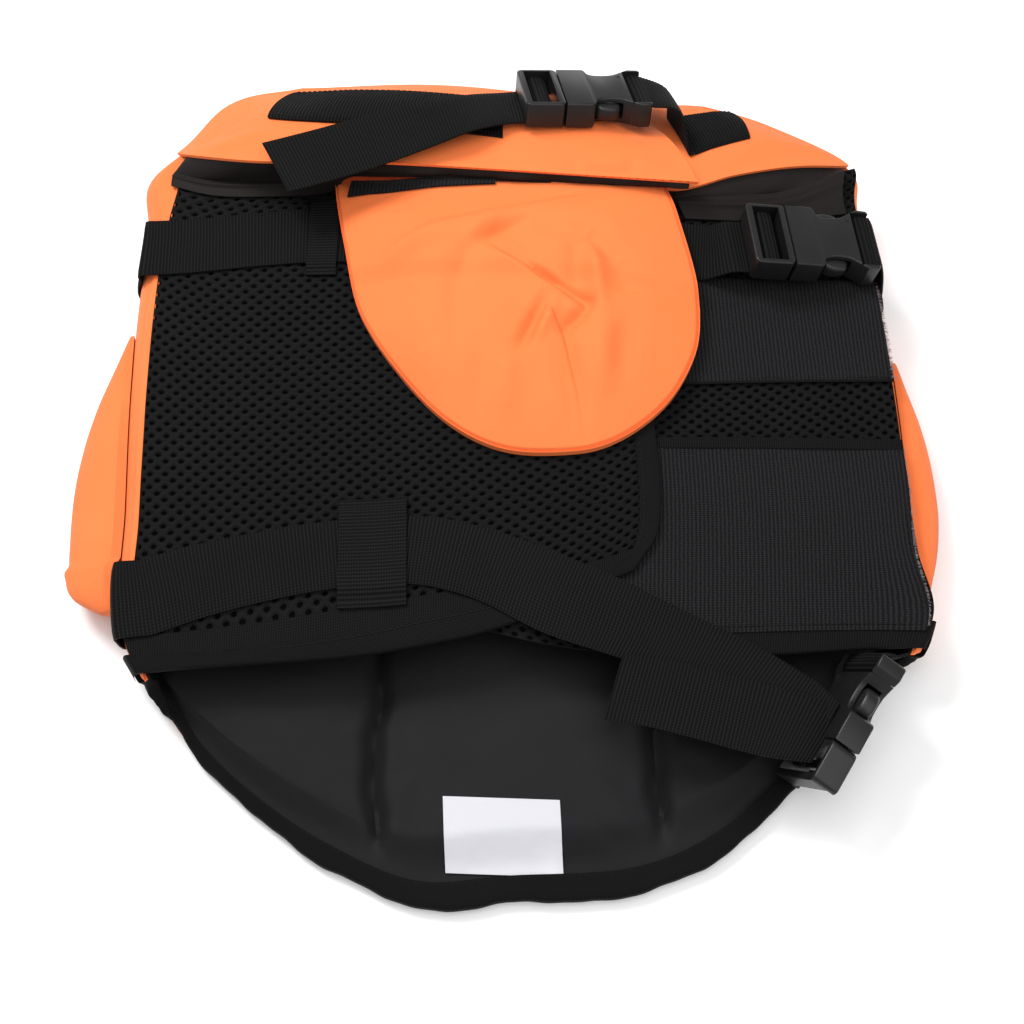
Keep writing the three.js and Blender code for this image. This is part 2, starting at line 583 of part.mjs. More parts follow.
// Keeper patches sewn over the straps: half is along the strap and over is across it
const KEEPER = { thick: 1.5, gap: 0.2, strapGap: 0.4, shoulder: 8, slope: 6 };
function keeper(path, height, at, half, over) {
  const p = path(at);
  const q = path(at + 0.02);
  const along = q.sub(p).setZ(0).normalize();
  const wide = new THREE.Vector3(-along.y, along.x, 0);
  const rows = steps(12).map((k) => {
    const w = mix(-over, over, k);
    const onStrap = ease((WEBBING_WIDTH / 2 + KEEPER.shoulder - Math.abs(w)) / KEEPER.slope);
    const lift = onStrap * (WEBBING + KEEPER.strapGap) + KEEPER.gap;
    return steps(2).map((s) => {
      const r = p.clone().addScaledVector(wide, w).addScaledVector(along, mix(-half, half, s));
      return r.setZ(height(r.x, r.y) + lift);
    });
  });
  return wall(raiseGrid(rows, KEEPER.thick), rows);
}
add('keeper_upper', keeper(upperPath, upperHeight, 0.308, 9, 29), 'webbing');
add('keeper_lower', keeper(lowerPath, lowerHeight, 0.335, 19, 30), 'webbing');

// Chin float: a padded bib on the belly, its top under the neck flap
const CHIN_MIDDLE = { x: -2, y: 118 };
const CHIN_OUTLINE = line([
  { x: 0, y: 213 }, { x: -60, y: 215 }, { x: -99, y: 214 }, { x: -103, y: 199 }, { x: -102, y: 173 },
  { x: -88, y: 117 }, { x: -64, y: 71 }, { x: -40, y: 42 }, { x: -18, y: 25 }, { x: 10, y: 17 },
  { x: 40, y: 18 }, { x: 62, y: 26 }, { x: 84, y: 42 }, { x: 99, y: 66 }, { x: 107, y: 110 },
  { x: 104, y: 155 }, { x: 98, y: 196 }, { x: 60, y: 204 }, { x: 0, y: 213 },
]);
const CHIN_THICK = 17;
const CHIN_RIM = 5;
const CHIN_RAYS = 44;
const CHIN_FOLDS = [
  { x0: -78, y0: 150, x1: -10, y1: 176, width: 9, depth: 2.6 },
  { x0: -10, y0: 176, x1: 60, y1: 188, width: 9, depth: 2.2 },
  { x0: -12, y0: 165, x1: 38, y1: 128, width: 8, depth: -3.2 },
  { x0: 12, y0: 104, x1: 20, y1: 128, width: 7, depth: 2.2 },
  { x0: 30, y0: 108, x1: 36, y1: 20, width: 6, depth: -2.4 },
];

// Height that the folds add at a point: each is a soft ridge or trough along a segment
function foldHeight(folds, x, y) {
  return folds.reduce((sum, f) => {
    const dx = f.x1 - f.x0;
    const dy = f.y1 - f.y0;
    const t = clamp01(((x - f.x0) * dx + (y - f.y0) * dy) / (dx * dx + dy * dy));
    const gap = Math.hypot(x - f.x0 - t * dx, y - f.y0 - t * dy);
    return sum + f.depth * bump(gap, f.width);
  }, 0);
}

const chinUnder = (x, y) => {
  const strapped = ease((WEBBING_WIDTH / 2 + 22 - Math.abs(y - upperY(x))) / 14) * (CHIN_OVER_STRAP + 0.8);
  return leftTop(Math.min(x, 84), y) + LAY_GAP + strapped + 1.6 * ease((y - 190) / 12);
};
const chinTop = (x, y, rim) => {
  const neckward = mix(1, 0.38, ease((y - 165) / 42));
  const puff = (1 - rim ** 3.2) * (CHIN_THICK - CHIN_RIM) * neckward;
  return chinUnder(x, y) + CHIN_RIM + puff + foldHeight(CHIN_FOLDS, x, y) * (1 - rim ** 4) * neckward;
};
const TOP_RINGS = [1, 0.95, 0.86, 0.72, 0.55, 0.36, 0.17];
const LOW_RINGS = [1, 0.8, 0.55, 0.28];

function chinPad() {
  const ringAt = (share, height) => steps(CHIN_RAYS).slice(0, -1).map((t) => {
    const rim = CHIN_OUTLINE(t);
    const x = mix(CHIN_MIDDLE.x, rim.x, share);
    const y = mix(CHIN_MIDDLE.y, rim.y, share);
    return new THREE.Vector3(x, y, height(x, y, share));
  });
  return loft([
    ...TOP_RINGS.toReversed().map((share) => ringAt(share, chinTop)),
    ...LOW_RINGS.map((share) => ringAt(share, chinUnder)),
  ]);
}
add('chin_float', chinPad(), 'orange');

// Neck flaps, each a curved orange wall with a black facing turned in at its lower edge
const FLAP_BULGE = { left: 7, right: 5 };
const NECK_FROM = [0.8, 0.79];   // where the flaps start along the left and right side
const aboveWall = new THREE.Vector3(0, 0, SEAM_GAP + CLOTH * 0.4);
const flapSide = (side) => (t) => wallTop(side)(mix(NECK_FROM[side], 1, t)).add(aboveWall);
const leftFlapSide = flapSide(0);
const rightFlapSide = flapSide(1);
const flapSurface = (sides, bulge) => {
  const base = patch(sides);
  return (a, b) => {
    const p = base(a, b);
    return p.setZ(p.z + bulge * 4 * b * (1 - b) * ease(a / 0.25) * ease((1 - a) / 0.25));
  };
};
const leftFlapEdge = line([
  { ...leftFlapSide(0) }, { x: -188, y: 226, z: 59 }, { x: -151, y: 212, z: 75 }, { x: -98, y: 211, z: 77 },
  { x: -5, y: 205, z: 77 }, { x: 55, y: 201, z: 76 }, { x: 112, y: 197, z: 75 },
]);
const leftFlapRim = line([
  { ...leftFlapSide(1) }, { x: -59, y: 294, z: 47 }, { x: -8, y: 289, z: 48 }, { x: 45, y: 275, z: 52 },
  { x: 88, y: 249, z: 61 },
]);
const leftFlapEnd = line([
  { x: 112, y: 197, z: 75 }, { x: 105, y: 215, z: 74 }, { x: 97, y: 232, z: 70 }, { x: 88, y: 249, z: 61 },
]);
const leftFlap = flapSurface({
  bottom: leftFlapEdge, top: leftFlapRim, left: leftFlapSide, right: leftFlapEnd,
}, FLAP_BULGE.left);

const rightFlapEdge = line([
  { x: 62, y: 214, z: 58 }, { x: 100, y: 203, z: 60 }, { x: 137, y: 213, z: 61 }, { x: 178, y: 224, z: 57 },
  { ...rightFlapSide(0) },
]);
const rightFlapRim = line([{ x: 44, y: 282, z: 42 }, { x: 90, y: 280, z: 44 }, { ...rightFlapSide(1) }]);
const rightFlapStart = line([{ x: 62, y: 214, z: 58 }, { x: 52, y: 244, z: 51 }, { x: 44, y: 282, z: 42 }]);
const rightFlap = flapSurface({
  bottom: rightFlapEdge, top: rightFlapRim, left: rightFlapStart, right: rightFlapSide,
}, FLAP_BULGE.right);

const flapColumns = steps(16);
const flapRows = steps(8);
function addFlap(name, surface, columns) {
  const grid = gridOf(surface, columns, flapRows);
  add(name, wall(offsetGrid(grid, normalsOf(surface, columns, flapRows), CLOTH), grid), 'orange');
}
addFlap('collar_left', leftFlap, flapColumns);
addFlap('collar_right', rightFlap, steps(9));

// A facing hangs from a flap's lower edge to a lower line
const FACING = { behindEdge: 0.6, underEdge: 0.65, bulge: 1.5 };
function facing(edge, foot, columns) {
  const surface = (a, b) => {
    const p = edge(a);
    const top = new THREE.Vector3(p.x, p.y + FACING.behindEdge, p.z - FACING.underEdge);
    return top.lerp(foot(a), b).add(new THREE.Vector3(0, -FACING.bulge * 4 * b * (1 - b), 0));
  };
  const rows = steps(4);
  const grid = gridOf(surface, columns, rows);
  return wall(grid, offsetGrid(grid, normalsOf(surface, columns, rows), LINING));
}
const leftFacingFoot = line([
  { x: -200, y: 222, z: 49.5 }, { x: -184, y: 216, z: 51.5 }, { x: -150, y: 214, z: 55 },
  { x: -104, y: 209, z: 69.5 },
  { x: -5, y: 204, z: 71 }, { x: 55, y: 201, z: 70.5 }, { x: 106, y: 198, z: 70 },
]);
const rightFacingFoot = line([
  { x: 100, y: 200, z: 58 }, { x: 137, y: 203, z: 55.5 }, { x: 172, y: 210, z: 52.5 },
  { x: 197, y: 225, z: 55.4 },
]);
const inset = (curve, from, to) => (t) => curve(mix(from, to, t));
add('collar_left_facing', facing(inset(leftFlapEdge, 0.05, 0.985), leftFacingFoot, steps(16)), 'lining');
add('collar_right_facing', facing(inset(rightFlapEdge, 0.27, 0.94), rightFacingFoot, steps(9)), 'lining');

// Hook strip sewn on the chin float just under the neck flap
const hookPlan = patch({
  left: line([{ x: -100, y: 195 }, { x: -98, y: 207 }]),
  right: line([{ x: -10, y: 200 }, { x: -10, y: 207 }]),
  bottom: line([{ x: -100, y: 195 }, { x: -10, y: 200 }]),
  top: line([{ x: -98, y: 207 }, { x: -10, y: 207 }]),
});
const CHIN_HALF = { x: 104, y: 96 };
const HOOK_GAP = 1.2;
const chinRimShare = (x, y) => (
  0.96 * Math.max(Math.abs(x - CHIN_MIDDLE.x) / CHIN_HALF.x, (y - CHIN_MIDDLE.y) / CHIN_HALF.y));
const chinHeight = (x, y) => chinTop(x, y, chinRimShare(x, y));
add('chin_hook', layOn(hookPlan, chinHeight, LOOP_CLOTH, steps(8), steps(2), HOOK_GAP), 'loop');

// Webbing of the neck strap, laid on the flaps
const onFlap = (surface, a, b, lift) => {
  const [[normal]] = normalsOf(surface, [a], [b]);
  return { point: surface(a, b).addScaledVector(normal, CLOTH + lift), normal };
};
function flapRibbon(surface, centre, halfShare, count) {
  const rows = steps(count).map((k) => {
    const { a, b } = centre(k);
    return [-1, -0.5, 0, 0.5, 1].map((w) => onFlap(surface, a, b + w * halfShare, LAY_GAP));
  });
  const grid = (lift) => rows.map((row) => (
    row.map(({ point, normal }) => point.clone().addScaledVector(normal, lift))));
  return wall(grid(WEBBING), grid(0));
}
const leftAnchor = (k) => ({ a: mix(0.2, 0.585, k), b: mix(0.5, 0.46, k) });
const rightAnchor = (k) => ({ a: mix(0.41, 0.65, k), b: mix(0.39, 0.43, k) });
add('neck_anchor_left', flapRibbon(leftFlap, leftAnchor, 0.22, 12), 'webbing');
add('neck_anchor_right', flapRibbon(rightFlap, rightAnchor, 0.26, 6), 'webbing');

const NECK_FREE_END = [
  { x: -141, y: 200, z: 86, across: [-0.44, 0.9, 0] },
  { x: -112, y: 209, z: 87, across: [-0.4, 0.91, 0] },
  { x: -82, y: 220, z: 87, across: [-0.36, 0.93, -0.04] },
  { x: -50, y: 233, z: 86, across: [-0.3, 0.93, -0.18] },
  { x: -25, y: 243, z: 84, across: [-0.2, 0.92, -0.32] },
];
add('neck_strap_free', ribbon([...freeRows(NECK_FREE_END), ...buckleRows('neck', LADDER)]), 'webbing');

const NECK_RIGHT = [{ x: 99, y: 259, z: 75.5, across: [-0.15, 0.86, -0.48] }];
const FLAP_SHARES = [-0.26, 0, 0.26];
const onRightFlap = (a, b) => (
  FLAP_SHARES.map((share) => onFlap(rightFlap, a, b + share, LAY_GAP + 0.3).point));
const lifted = (row, by) => row.map((p) => p.setZ(p.z + by));
add('neck_strap_right', ribbon([
  ...buckleRows('neck', REAR_BAR),
  ...freeRows(NECK_RIGHT),
  lifted(onRightFlap(0.375, 0.41), 0.8),
  onRightFlap(0.395, 0.4),
]), 'webbing');

// Label sewn on the lining above the tape
function liningAt(x, y) {
  let best = null;
  for (let j = 0; j < liningTop.length - 1; j++) {
    for (let i = 0; i < liningTop[0].length - 1; i++) {
      for (const corners of [[[j, i], [j, i + 1], [j + 1, i + 1]], [[j, i], [j + 1, i + 1], [j + 1, i]]]) {
        const [p, q, r] = corners.map(([row, col]) => liningTop[row][col]);
        const area = (q.x - p.x) * (r.y - p.y) - (r.x - p.x) * (q.y - p.y);
        const v = ((x - p.x) * (r.y - p.y) - (r.x - p.x) * (y - p.y)) / area;
        const w = ((q.x - p.x) * (y - p.y) - (x - p.x) * (q.y - p.y)) / area;
        if (v < -1e-6 || w < -1e-6 || v + w > 1 + 1e-6) continue;
        const z = p.z + v * (q.z - p.z) + w * (r.z - p.z);
        best = best === null ? z : Math.max(best, z);
      }
    }
  }
  return best;
}
const LABEL = { width: 63, height: 35, x: -5, y: -180, thick: 0.9 };
const LABEL_GAP = 0.9;
const labelPlan = (a, b) => (
  new THREE.Vector3(LABEL.x + (a - 0.5) * LABEL.width, LABEL.y + (b - 0.5) * LABEL.height, 0));
add('label', layOn(labelPlan, liningAt, LABEL.thick, steps(6), steps(8), LABEL_GAP), 'label');

// Side-release buckle in its own frame: +X from the strap's ladder to the catch, Z across its depth
const wasm = await Module();
wasm.setup();

function toManifold(geometry) {
  const bare = geometry.clone();
  bare.deleteAttribute('normal');
  bare.deleteAttribute('uv');
  const merged = mergeVertices(bare, 1e-4);
  return new wasm.Manifold(new wasm.Mesh({
    numProp: 3,
    vertProperties: Float32Array.from(merged.attributes.position.array),
    triVerts: Uint32Array.from(merged.index.array),
  }));
}

function fromManifold(manifold) {
  const { vertProperties, triVerts } = manifold.getMesh();
  const geometry = new THREE.BufferGeometry();
  geometry.setAttribute('position', new THREE.BufferAttribute(vertProperties, 3));
  geometry.setIndex(new THREE.BufferAttribute(triVerts, 1));
  return geometry;
}

// A plate from an outline, evenly about z = 0
function plate(shape, depth, curveSegments = 5) {
  const geometry = new THREE.ExtrudeGeometry(shape, { depth, bevelEnabled: false, curveSegments });
  return geometry.translate(0, 0, -depth / 2);
}
function box(x0, x1, halfWidth, depth, y = 0) {
  return new THREE.BoxGeometry(x1 - x0, 2 * halfWidth, depth).translate((x0 + x1) / 2, y, 0);
}
function rounded(x0, x1, half, radius) {
  const shape = new THREE.Shape();
  shape.moveTo(x0 + radius, -half);
  shape.lineTo(x1 - radius, -half);
  shape.quadraticCurveTo(x1, -half, x1, -half + radius);
  shape.lineTo(x1, half - radius);
  shape.quadraticCurveTo(x1, half, x1 - radius, half);
  shape.lineTo(x0 + radius, half);
  shape.quadraticCurveTo(x0, half, x0, half - radius);
  shape.lineTo(x0, -half + radius);
  shape.quadraticCurveTo(x0, -half, x0 + radius, -half);
  return shape;
}

const HALF = BUCKLE.width / 2;
const SLOT_HALF = WEBBING_WIDTH / 2 + 0.9;

// Male half: a deep frame with a ladder bar, and two springy prongs with finger pads
function maleHalf() {
  const frame = toManifold(plate(rounded(-BUCKLE.male, -0.4, HALF, 4), BUCKLE.depth))
    .subtract(toManifold(box(-21, -4.5, SLOT_HALF, BUCKLE.depth + 2)))
    .subtract(toManifold(box(-28, -20, SLOT_HALF, 8).translate(0, 0, -7)));
  const bar = toManifold(box(-15.2, -10.4, SLOT_HALF + 1, 4.5));
  const arms = [-1, 1].map((side) => {
    const arm = new THREE.Shape();
    arm.moveTo(-2, side * 10);
    arm.lineTo(20, side * 11);
    arm.quadraticCurveTo(33, side * 12, 34, side * 16);
    arm.quadraticCurveTo(34.5, side * (HALF - 1), 26, side * (HALF - 1));
    arm.quadraticCurveTo(19.5, side * (HALF - 1), 18.5, side * 18);
    arm.lineTo(15, side * 16.2);
    arm.lineTo(-2, side * 16.2);
    return toManifold(plate(arm, 9));
  });
  const tongue = toManifold(plate(rounded(-2, 28, 3.5, 2), 6));
  return fromManifold(frame.add(bar).add(arms[0]).add(arms[1]).add(tongue));
}

// Female half: a housing with scooped sides for the finger pads, and a bar for the webbing
function femaleHalf() {
  const outline = new THREE.Shape();
  outline.moveTo(0, -HALF);
  outline.lineTo(17, -HALF);
  outline.quadraticCurveTo(18, -15, 26, -15);
  outline.quadraticCurveTo(33, -15, 36, -17);
  outline.quadraticCurveTo(42, -21, 45, -HALF);
  outline.lineTo(BUCKLE.female, -HALF + 1);
  outline.lineTo(BUCKLE.female, HALF - 1);
  outline.lineTo(45, HALF);
  outline.quadraticCurveTo(42, 21, 36, 17);
  outline.quadraticCurveTo(33, 15, 26, 15);
  outline.quadraticCurveTo(18, 15, 17, HALF);
  outline.lineTo(0, HALF);
  return fromManifold(toManifold(plate(outline, BUCKLE.depth))
    .subtract(toManifold(box(-1, 36, 19.4, 10)))
    .subtract(toManifold(box(42, 46.5, SLOT_HALF, BUCKLE.depth + 2)))
    .subtract(toManifold(box(41, 60, SLOT_HALF, 6).translate(0, 0, 5.6)))
    .subtract(toManifold(box(41, 60, SLOT_HALF, 6).translate(0, 0, -5.6))));
}

for (const [name, place] of Object.entries(BUCKLES)) {
  const frame = buckleFrame(place);
  add(`buckle_${name}_male`, maleHalf().applyMatrix4(frame), 'buckle');
  add(`buckle_${name}_female`, femaleHalf().applyMatrix4(frame), 'buckle');
}

jacket.position.set(-CENTRE.x, -CENTRE.y, 0);
const part = new THREE.Group();
part.add(jacket);

export default part;
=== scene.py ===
"""Dog life jacket lying on its back: the cloth, foam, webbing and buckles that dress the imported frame."""

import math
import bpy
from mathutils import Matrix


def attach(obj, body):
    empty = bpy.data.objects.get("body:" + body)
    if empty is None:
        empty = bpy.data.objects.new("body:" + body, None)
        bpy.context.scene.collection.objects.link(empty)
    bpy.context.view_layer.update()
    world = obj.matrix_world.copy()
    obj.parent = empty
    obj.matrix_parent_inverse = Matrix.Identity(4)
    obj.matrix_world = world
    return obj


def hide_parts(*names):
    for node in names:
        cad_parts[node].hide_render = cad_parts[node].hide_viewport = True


bl_info = {
    "name": "Dog life jacket",
    "version": (1, 0, 0),
    "blender": (4, 5, 0),
    "location": "3D View > Sidebar > Jacket",
    "description": "Builds the cloth, webbing and buckles of a dog life jacket around its frame",
    "category": "Add Mesh",
}

import bpy
import numpy as np
from mathutils import Vector

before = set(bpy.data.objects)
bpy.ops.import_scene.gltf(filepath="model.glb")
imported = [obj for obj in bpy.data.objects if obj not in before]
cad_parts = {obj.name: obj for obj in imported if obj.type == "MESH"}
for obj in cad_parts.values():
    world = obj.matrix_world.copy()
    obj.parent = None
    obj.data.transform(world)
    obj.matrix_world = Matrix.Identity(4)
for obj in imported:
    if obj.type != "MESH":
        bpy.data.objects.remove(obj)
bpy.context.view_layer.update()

MM = 0.001
CENTRE = np.array([-4.296, 37.5, 0.0])   # plan middle in garment millimetres


# Curves and surfaces in garment millimetres, as whole arrays

def mix(a, b, t):
    return a + (b - a) * t


def ease(t):
    """Smooth step: 3t^2 - 2t^3 between 0 and 1."""
    t = np.clip(t, 0.0, 1.0)
    return t * t * (3.0 - 2.0 * t)


def bump(distance, width):
    """Bell: e to the minus square of the distance over the width."""
    return np.exp(-((distance / width) ** 2))


def unit(v):
    return v / np.maximum(np.linalg.norm(v, axis=-1, keepdims=True), 1e-12)


def table(*rows):
    """A value eased from row to row of (at, value), and level beyond the ends."""
    at = np.array([row[0] for row in rows], float)
    value = np.array([row[1] for row in rows], float)

    def read(x):
        x = np.asarray(x, float)
        k = np.clip(np.searchsorted(at, x) - 1, 0, len(at) - 2)
        return mix(value[k], value[k + 1], ease((x - at[k]) / (at[k + 1] - at[k])))
    return read


def flowing(*rows):
    """A value carried from row to row of (at, value) by a cubic with the rows' own mean slopes."""
    at, value = np.array(rows, float).T
    slope = np.gradient(value, at)

    def read(x):
        x = np.clip(x, at[0], at[-1])
        k = np.clip(np.searchsorted(at, x) - 1, 0, len(at) - 2)
        step = at[k + 1] - at[k]
        t = (x - at[k]) / step
        bend = t * (1 - t) * step * ((1 - t) * slope[k] - t * slope[k + 1])
        return mix(value[k], value[k + 1], ease(t)) + bend
    return read


SPLINE_STEPS = 48


def spline(points, measure=slice(None)):
    """Centripetal Catmull-Rom curve: each stretch is a cubic whose end slopes weigh the neighbouring
    points by the square root of their distance. Returns the samples and the share of length at each,
    measured over the given columns."""
    p = np.asarray(points, float)
    ends = np.vstack([2 * p[0] - p[1], p, 2 * p[-1] - p[-2]])
    t = np.linspace(0.0, 1.0, SPLINE_STEPS, endpoint=False)[:, None]
    runs = []
    for a, b, c, d in zip(ends, ends[1:], ends[2:], ends[3:]):
        before, here, after = (max(np.linalg.norm(v[measure]), 1e-6) ** 0.5 for v in (b - a, c - b, d - c))
        slope_b = ((b - a) / before - (c - a) / (before + here) + (c - b) / here) * here
        slope_c = ((c - b) / here - (d - b) / (here + after) + (d - c) / after) * here
        runs.append((2 * t**3 - 3 * t**2 + 1) * b + (t**3 - 2 * t**2 + t) * slope_b
                    + (3 * t**2 - 2 * t**3) * c + (t**3 - t**2) * slope_c)
    samples = np.vstack(runs + [p[-1:]])
    length = np.append(0.0, np.cumsum(np.linalg.norm(np.diff(samples[:, measure], axis=0), axis=1)))
    return samples, length


def line(*rows):
    """A smooth line through (x, y) or (x, y, z) rows, read by the share of its length."""
    samples, length = spline([(*row, 0.0)[:3] for row in rows])
    share = length / length[-1]

    def read(t):
        t = np.clip(np.asarray(t, float), 0.0, 1.0)
        return np.stack([np.interp(t, share, samples[:, k]) for k in range(3)], axis=-1)
    return read


def patch(bottom, top, left, right):
    """Coons patch: the blend of the two pairs of edges less the blend of the four corners."""
    c00, c10, c01, c11 = left(0.0), right(0.0), left(1.0), right(1.0)

    def surface(a, b):
        a, b = np.broadcast_arrays(np.asarray(a, float), np.asarray(b, float))
        s, t = a[..., None], b[..., None]
        return (bottom(a) * (1 - t) + top(a) * t + left(b) * (1 - s) + right(b) * s
                - c00 * (1 - s) * (1 - t) - c10 * s * (1 - t) - c01 * (1 - s) * t - c11 * s * t)
    return surface


def grid(surface, along, across):
    """Points of a surface: one row for each across value, one column for each along value."""
    a, b = np.meshgrid(along, across)
    return surface(a, b)


def normals(surface, a, b, small=0.002):
    """Unit cross product of the surface's slopes along its two parameters."""
    da = surface(np.minimum(a + small, 1), b) - surface(np.maximum(a - small, 0), b)
    db = surface(a, np.minimum(b + small, 1)) - surface(a, np.maximum(b - small, 0))
    return unit(np.cross(da, db))


def folds(x, y, rows):
    """Sum of soft ridges and troughs: each row (x0, y0, x1, y1, width, height) adds its height times a
    bell of the distance to its segment, which fades towards the segment's ends."""
    total = np.zeros(np.broadcast(x, y).shape)
    for x0, y0, x1, y1, width, height in rows:
        dx, dy = x1 - x0, y1 - y0
        t = ((x - x0) * dx + (y - y0) * dy) / (dx * dx + dy * dy)
        near = np.clip(t, 0.0, 1.0)
        gap = np.hypot(x - x0 - near * dx, y - y0 - near * dy)
        total += height * bump(gap, width) * (0.35 + 0.65 * np.sin(math.pi * near) ** 0.6)
    return total


def ripple(x, y, waves):
    """Sum of sine waves, each of length, direction in degrees, height and phase."""
    total = np.zeros(np.broadcast(x, y).shape)
    for length, degrees, height, phase in waves:
        turn = math.radians(degrees)
        total += height * np.sin(2 * math.pi * (x * math.cos(turn) + y * math.sin(turn)) / length + phase)
    return total


# Mesh making

def quads_of(rows, cols, closed=False):
    """Faces of a grid of points, row by row, with its last column joined to its first where closed."""
    index = np.arange(rows * cols).reshape(rows, cols)
    if closed:
        index = np.hstack([index, index[:, :1]])
    return np.stack([index[:-1, :-1], index[:-1, 1:], index[1:, 1:], index[1:, :-1]], axis=-1).reshape(-1, 4)


def signed_volume(points, faces):
    """Sixth of the sum of each triangle's corners' triple product."""
    total = 0.0
    for k in range(1, faces.shape[1] - 1):
        a, b, c = (points[faces[:, n]] for n in (0, k, k + 1))
        total += np.einsum("ij,ij->i", a, np.cross(b, c)).sum()
    return total / 6.0


# Places where the cloth is pulled out of its smooth outline: centre, shift and reach in both directions
PULLED = ((-211, 224, -12, 2, 22, 15), (-175, 268, -8, 9, 24, 24), (201, 236, 12, -4, 16, 16),
          (226, -66, 9, -1, 14, 18), (-100, -80, 0, -9, 120, 11))
PULL_FROM, PULL_OVER = 10.0, 25.0


def pulled(points):
    """Points moved by each pull as a bell of their distance from it in plan, from a height up."""
    x, y, z = points.T
    moved = points.copy()
    for middle_x, middle_y, shift_x, shift_y, reach_x, reach_y in PULLED:
        share = np.exp(-0.5 * (((x - middle_x) / reach_x) ** 2 + ((y - middle_y) / reach_y) ** 2))
        share = share * ease((z - PULL_FROM) / PULL_OVER)
        moved[:, 0] += shift_x * share
        moved[:, 1] += shift_y * share
    return moved


def piece(name, points, faces, uv=None, materials=(), slots=None, sharp=50.0):
    """A mesh object from garment millimetres: faces may be one array or several of different corner
    counts. Its place is in its points, and closed forms are turned to face outwards."""
    points = pulled(np.asarray(points, float).reshape(-1, 3))
    groups = [np.asarray(f) for f in (faces if isinstance(faces, (list, tuple)) else [faces])]
    if sum(signed_volume(points, f) for f in groups) < 0:
        groups = [f[:, ::-1] for f in groups]
    counts = np.concatenate([np.full(len(f), f.shape[1]) for f in groups])
    corners = np.concatenate([f.ravel() for f in groups])
    mesh = bpy.data.meshes.new(name)
    mesh.vertices.add(len(points))
    mesh.vertices.foreach_set("co", ((points - CENTRE) * MM).ravel())
    mesh.loops.add(len(corners))
    mesh.loops.foreach_set("vertex_index", corners.astype(np.int32))
    mesh.polygons.add(len(counts))
    mesh.polygons.foreach_set("loop_start", np.append(0, np.cumsum(counts)[:-1]).astype(np.int32))
    if uv is not None:
        layer = mesh.uv_layers.new(name="Lay")
        layer.data.foreach_set("uv", (np.asarray(uv, float).reshape(-1, 2)[corners] * MM).ravel())
    for material in materials:
        mesh.materials.append(material)
    if slots is not None:
        mesh.polygons.foreach_set("material_index", np.asarray(slots, np.int32))
    mesh.update(calc_edges=True)
    mesh.polygons.foreach_set("use_smooth", np.ones(len(counts), bool))
    mesh.set_sharp_from_angle(angle=math.radians(sharp))
    made = bpy.data.objects.new(name, mesh)
    bpy.context.scene.collection.objects.link(made)
    return made


def wall(upper, lower):
    """A closed wall: two grids of the same size, joined round their four sides. Returns its points
    and faces."""
    rows, cols = upper.shape[:2]
    count = rows * cols
    index = np.arange(count).reshape(rows, cols)
    rim = np.concatenate([index[0, :-1], index[:-1, -1], index[-1, :0:-1], index[:0:-1, 0]])
    ahead = np.roll(rim, -1)
    faces = quads_of(rows, cols)
    sides = np.stack([rim + count, ahead + count, ahead, rim], axis=-1)
    return (np.concatenate([upper.reshape(-1, 3), lower.reshape(-1, 3)]),
            np.concatenate([faces, faces[:, ::-1] + count, sides]))


def wall_uv(across, along):
    """The same flat place for a wall's upper and lower points, in millimetres."""
    flat = np.stack([across, along], axis=-1).reshape(-1, 2)
    return np.concatenate([flat, flat])


def lengths(points):
    """Flat places of a grid's points: running length along the rows, and along the columns."""
    along = np.linalg.norm(np.diff(points, axis=1), axis=-1)
    across = np.linalg.norm(np.diff(points, axis=0), axis=-1)
    u = np.concatenate([np.zeros((len(points), 1)), np.cumsum(along, axis=1)], axis=1)
    v = np.concatenate([np.zeros((1, points.shape[1])), np.cumsum(across, axis=0)], axis=0)
    u = u - u[:, u.shape[1] // 2:u.shape[1] // 2 + 1]
    return u, v


def cloth_wall(name, upper, lower, cloth):
    """A closed cloth wall with its flat places as UV, measured from its middle column."""
    points, faces = wall(upper, lower)
    return piece(name, points, faces, wall_uv(*lengths(upper)), [cloth])


def loft(rings):
    """Rings of points joined in order, with each end closed to its ring's middle. Returns points,
    quads and triangles."""
    count, around = rings.shape[:2]
    points = np.concatenate([rings.reshape(-1, 3), rings[0].mean(0)[None], rings[-1].mean(0)[None]])
    faces = quads_of(count, around, closed=True)
    first = np.arange(around)
    last = first + (count - 1) * around
    start, end = count * around, count * around + 1
    caps = np.concatenate([
        np.stack([np.full(around, start), np.roll(first, -1), first], axis=-1),
        np.stack([np.full(around, end), last, np.roll(last, -1)], axis=-1)])
    return points, faces, caps


# The jacket's own lines and surfaces, in garment millimetres

SEAM_GAP = 0.35
LAY_GAP = 0.6
CLOTH = 2.0
LINING = 1.3
FOAM = 12.5
MESH = 3.0
LOOP_CLOTH = 1.0
WEBBING = 1.9
WEBBING_WIDTH = 39.0
SIDE_HEIGHT = 41.0
ROLL_ANGLE = math.radians(140)
WALL_SHARE = 0.2
TAPE_ROW = 0.027
TAPE_THICK = {"tail": 1.3, "belly": 0.9}
TAPE_SQUEEZE = 0.9

tail_edge = line((-204, -98), (-172, -140), (-135, -174), (-97, -199), (-49, -219), (0, -216),
                 (68, -211), (109, -193), (157, -152), (200, -106), (222, -84))
left_side = line((-204, -98), (-219, -63), (-223, 0), (-228, 78), (-229, 160), (-224, 217),
                 (-205, 248), (-172, 279), (-143, 292))
right_side = line((222, -84), (229, -50), (230, 20), (229, 90), (224, 165), (216, 216),
                  (206, 241), (171, 264), (132, 278))
neck_edge = line((-143, 292), (-60, 293), (10, 290), (75, 284), (132, 278))
plan = patch(tail_edge, neck_edge, left_side, right_side)

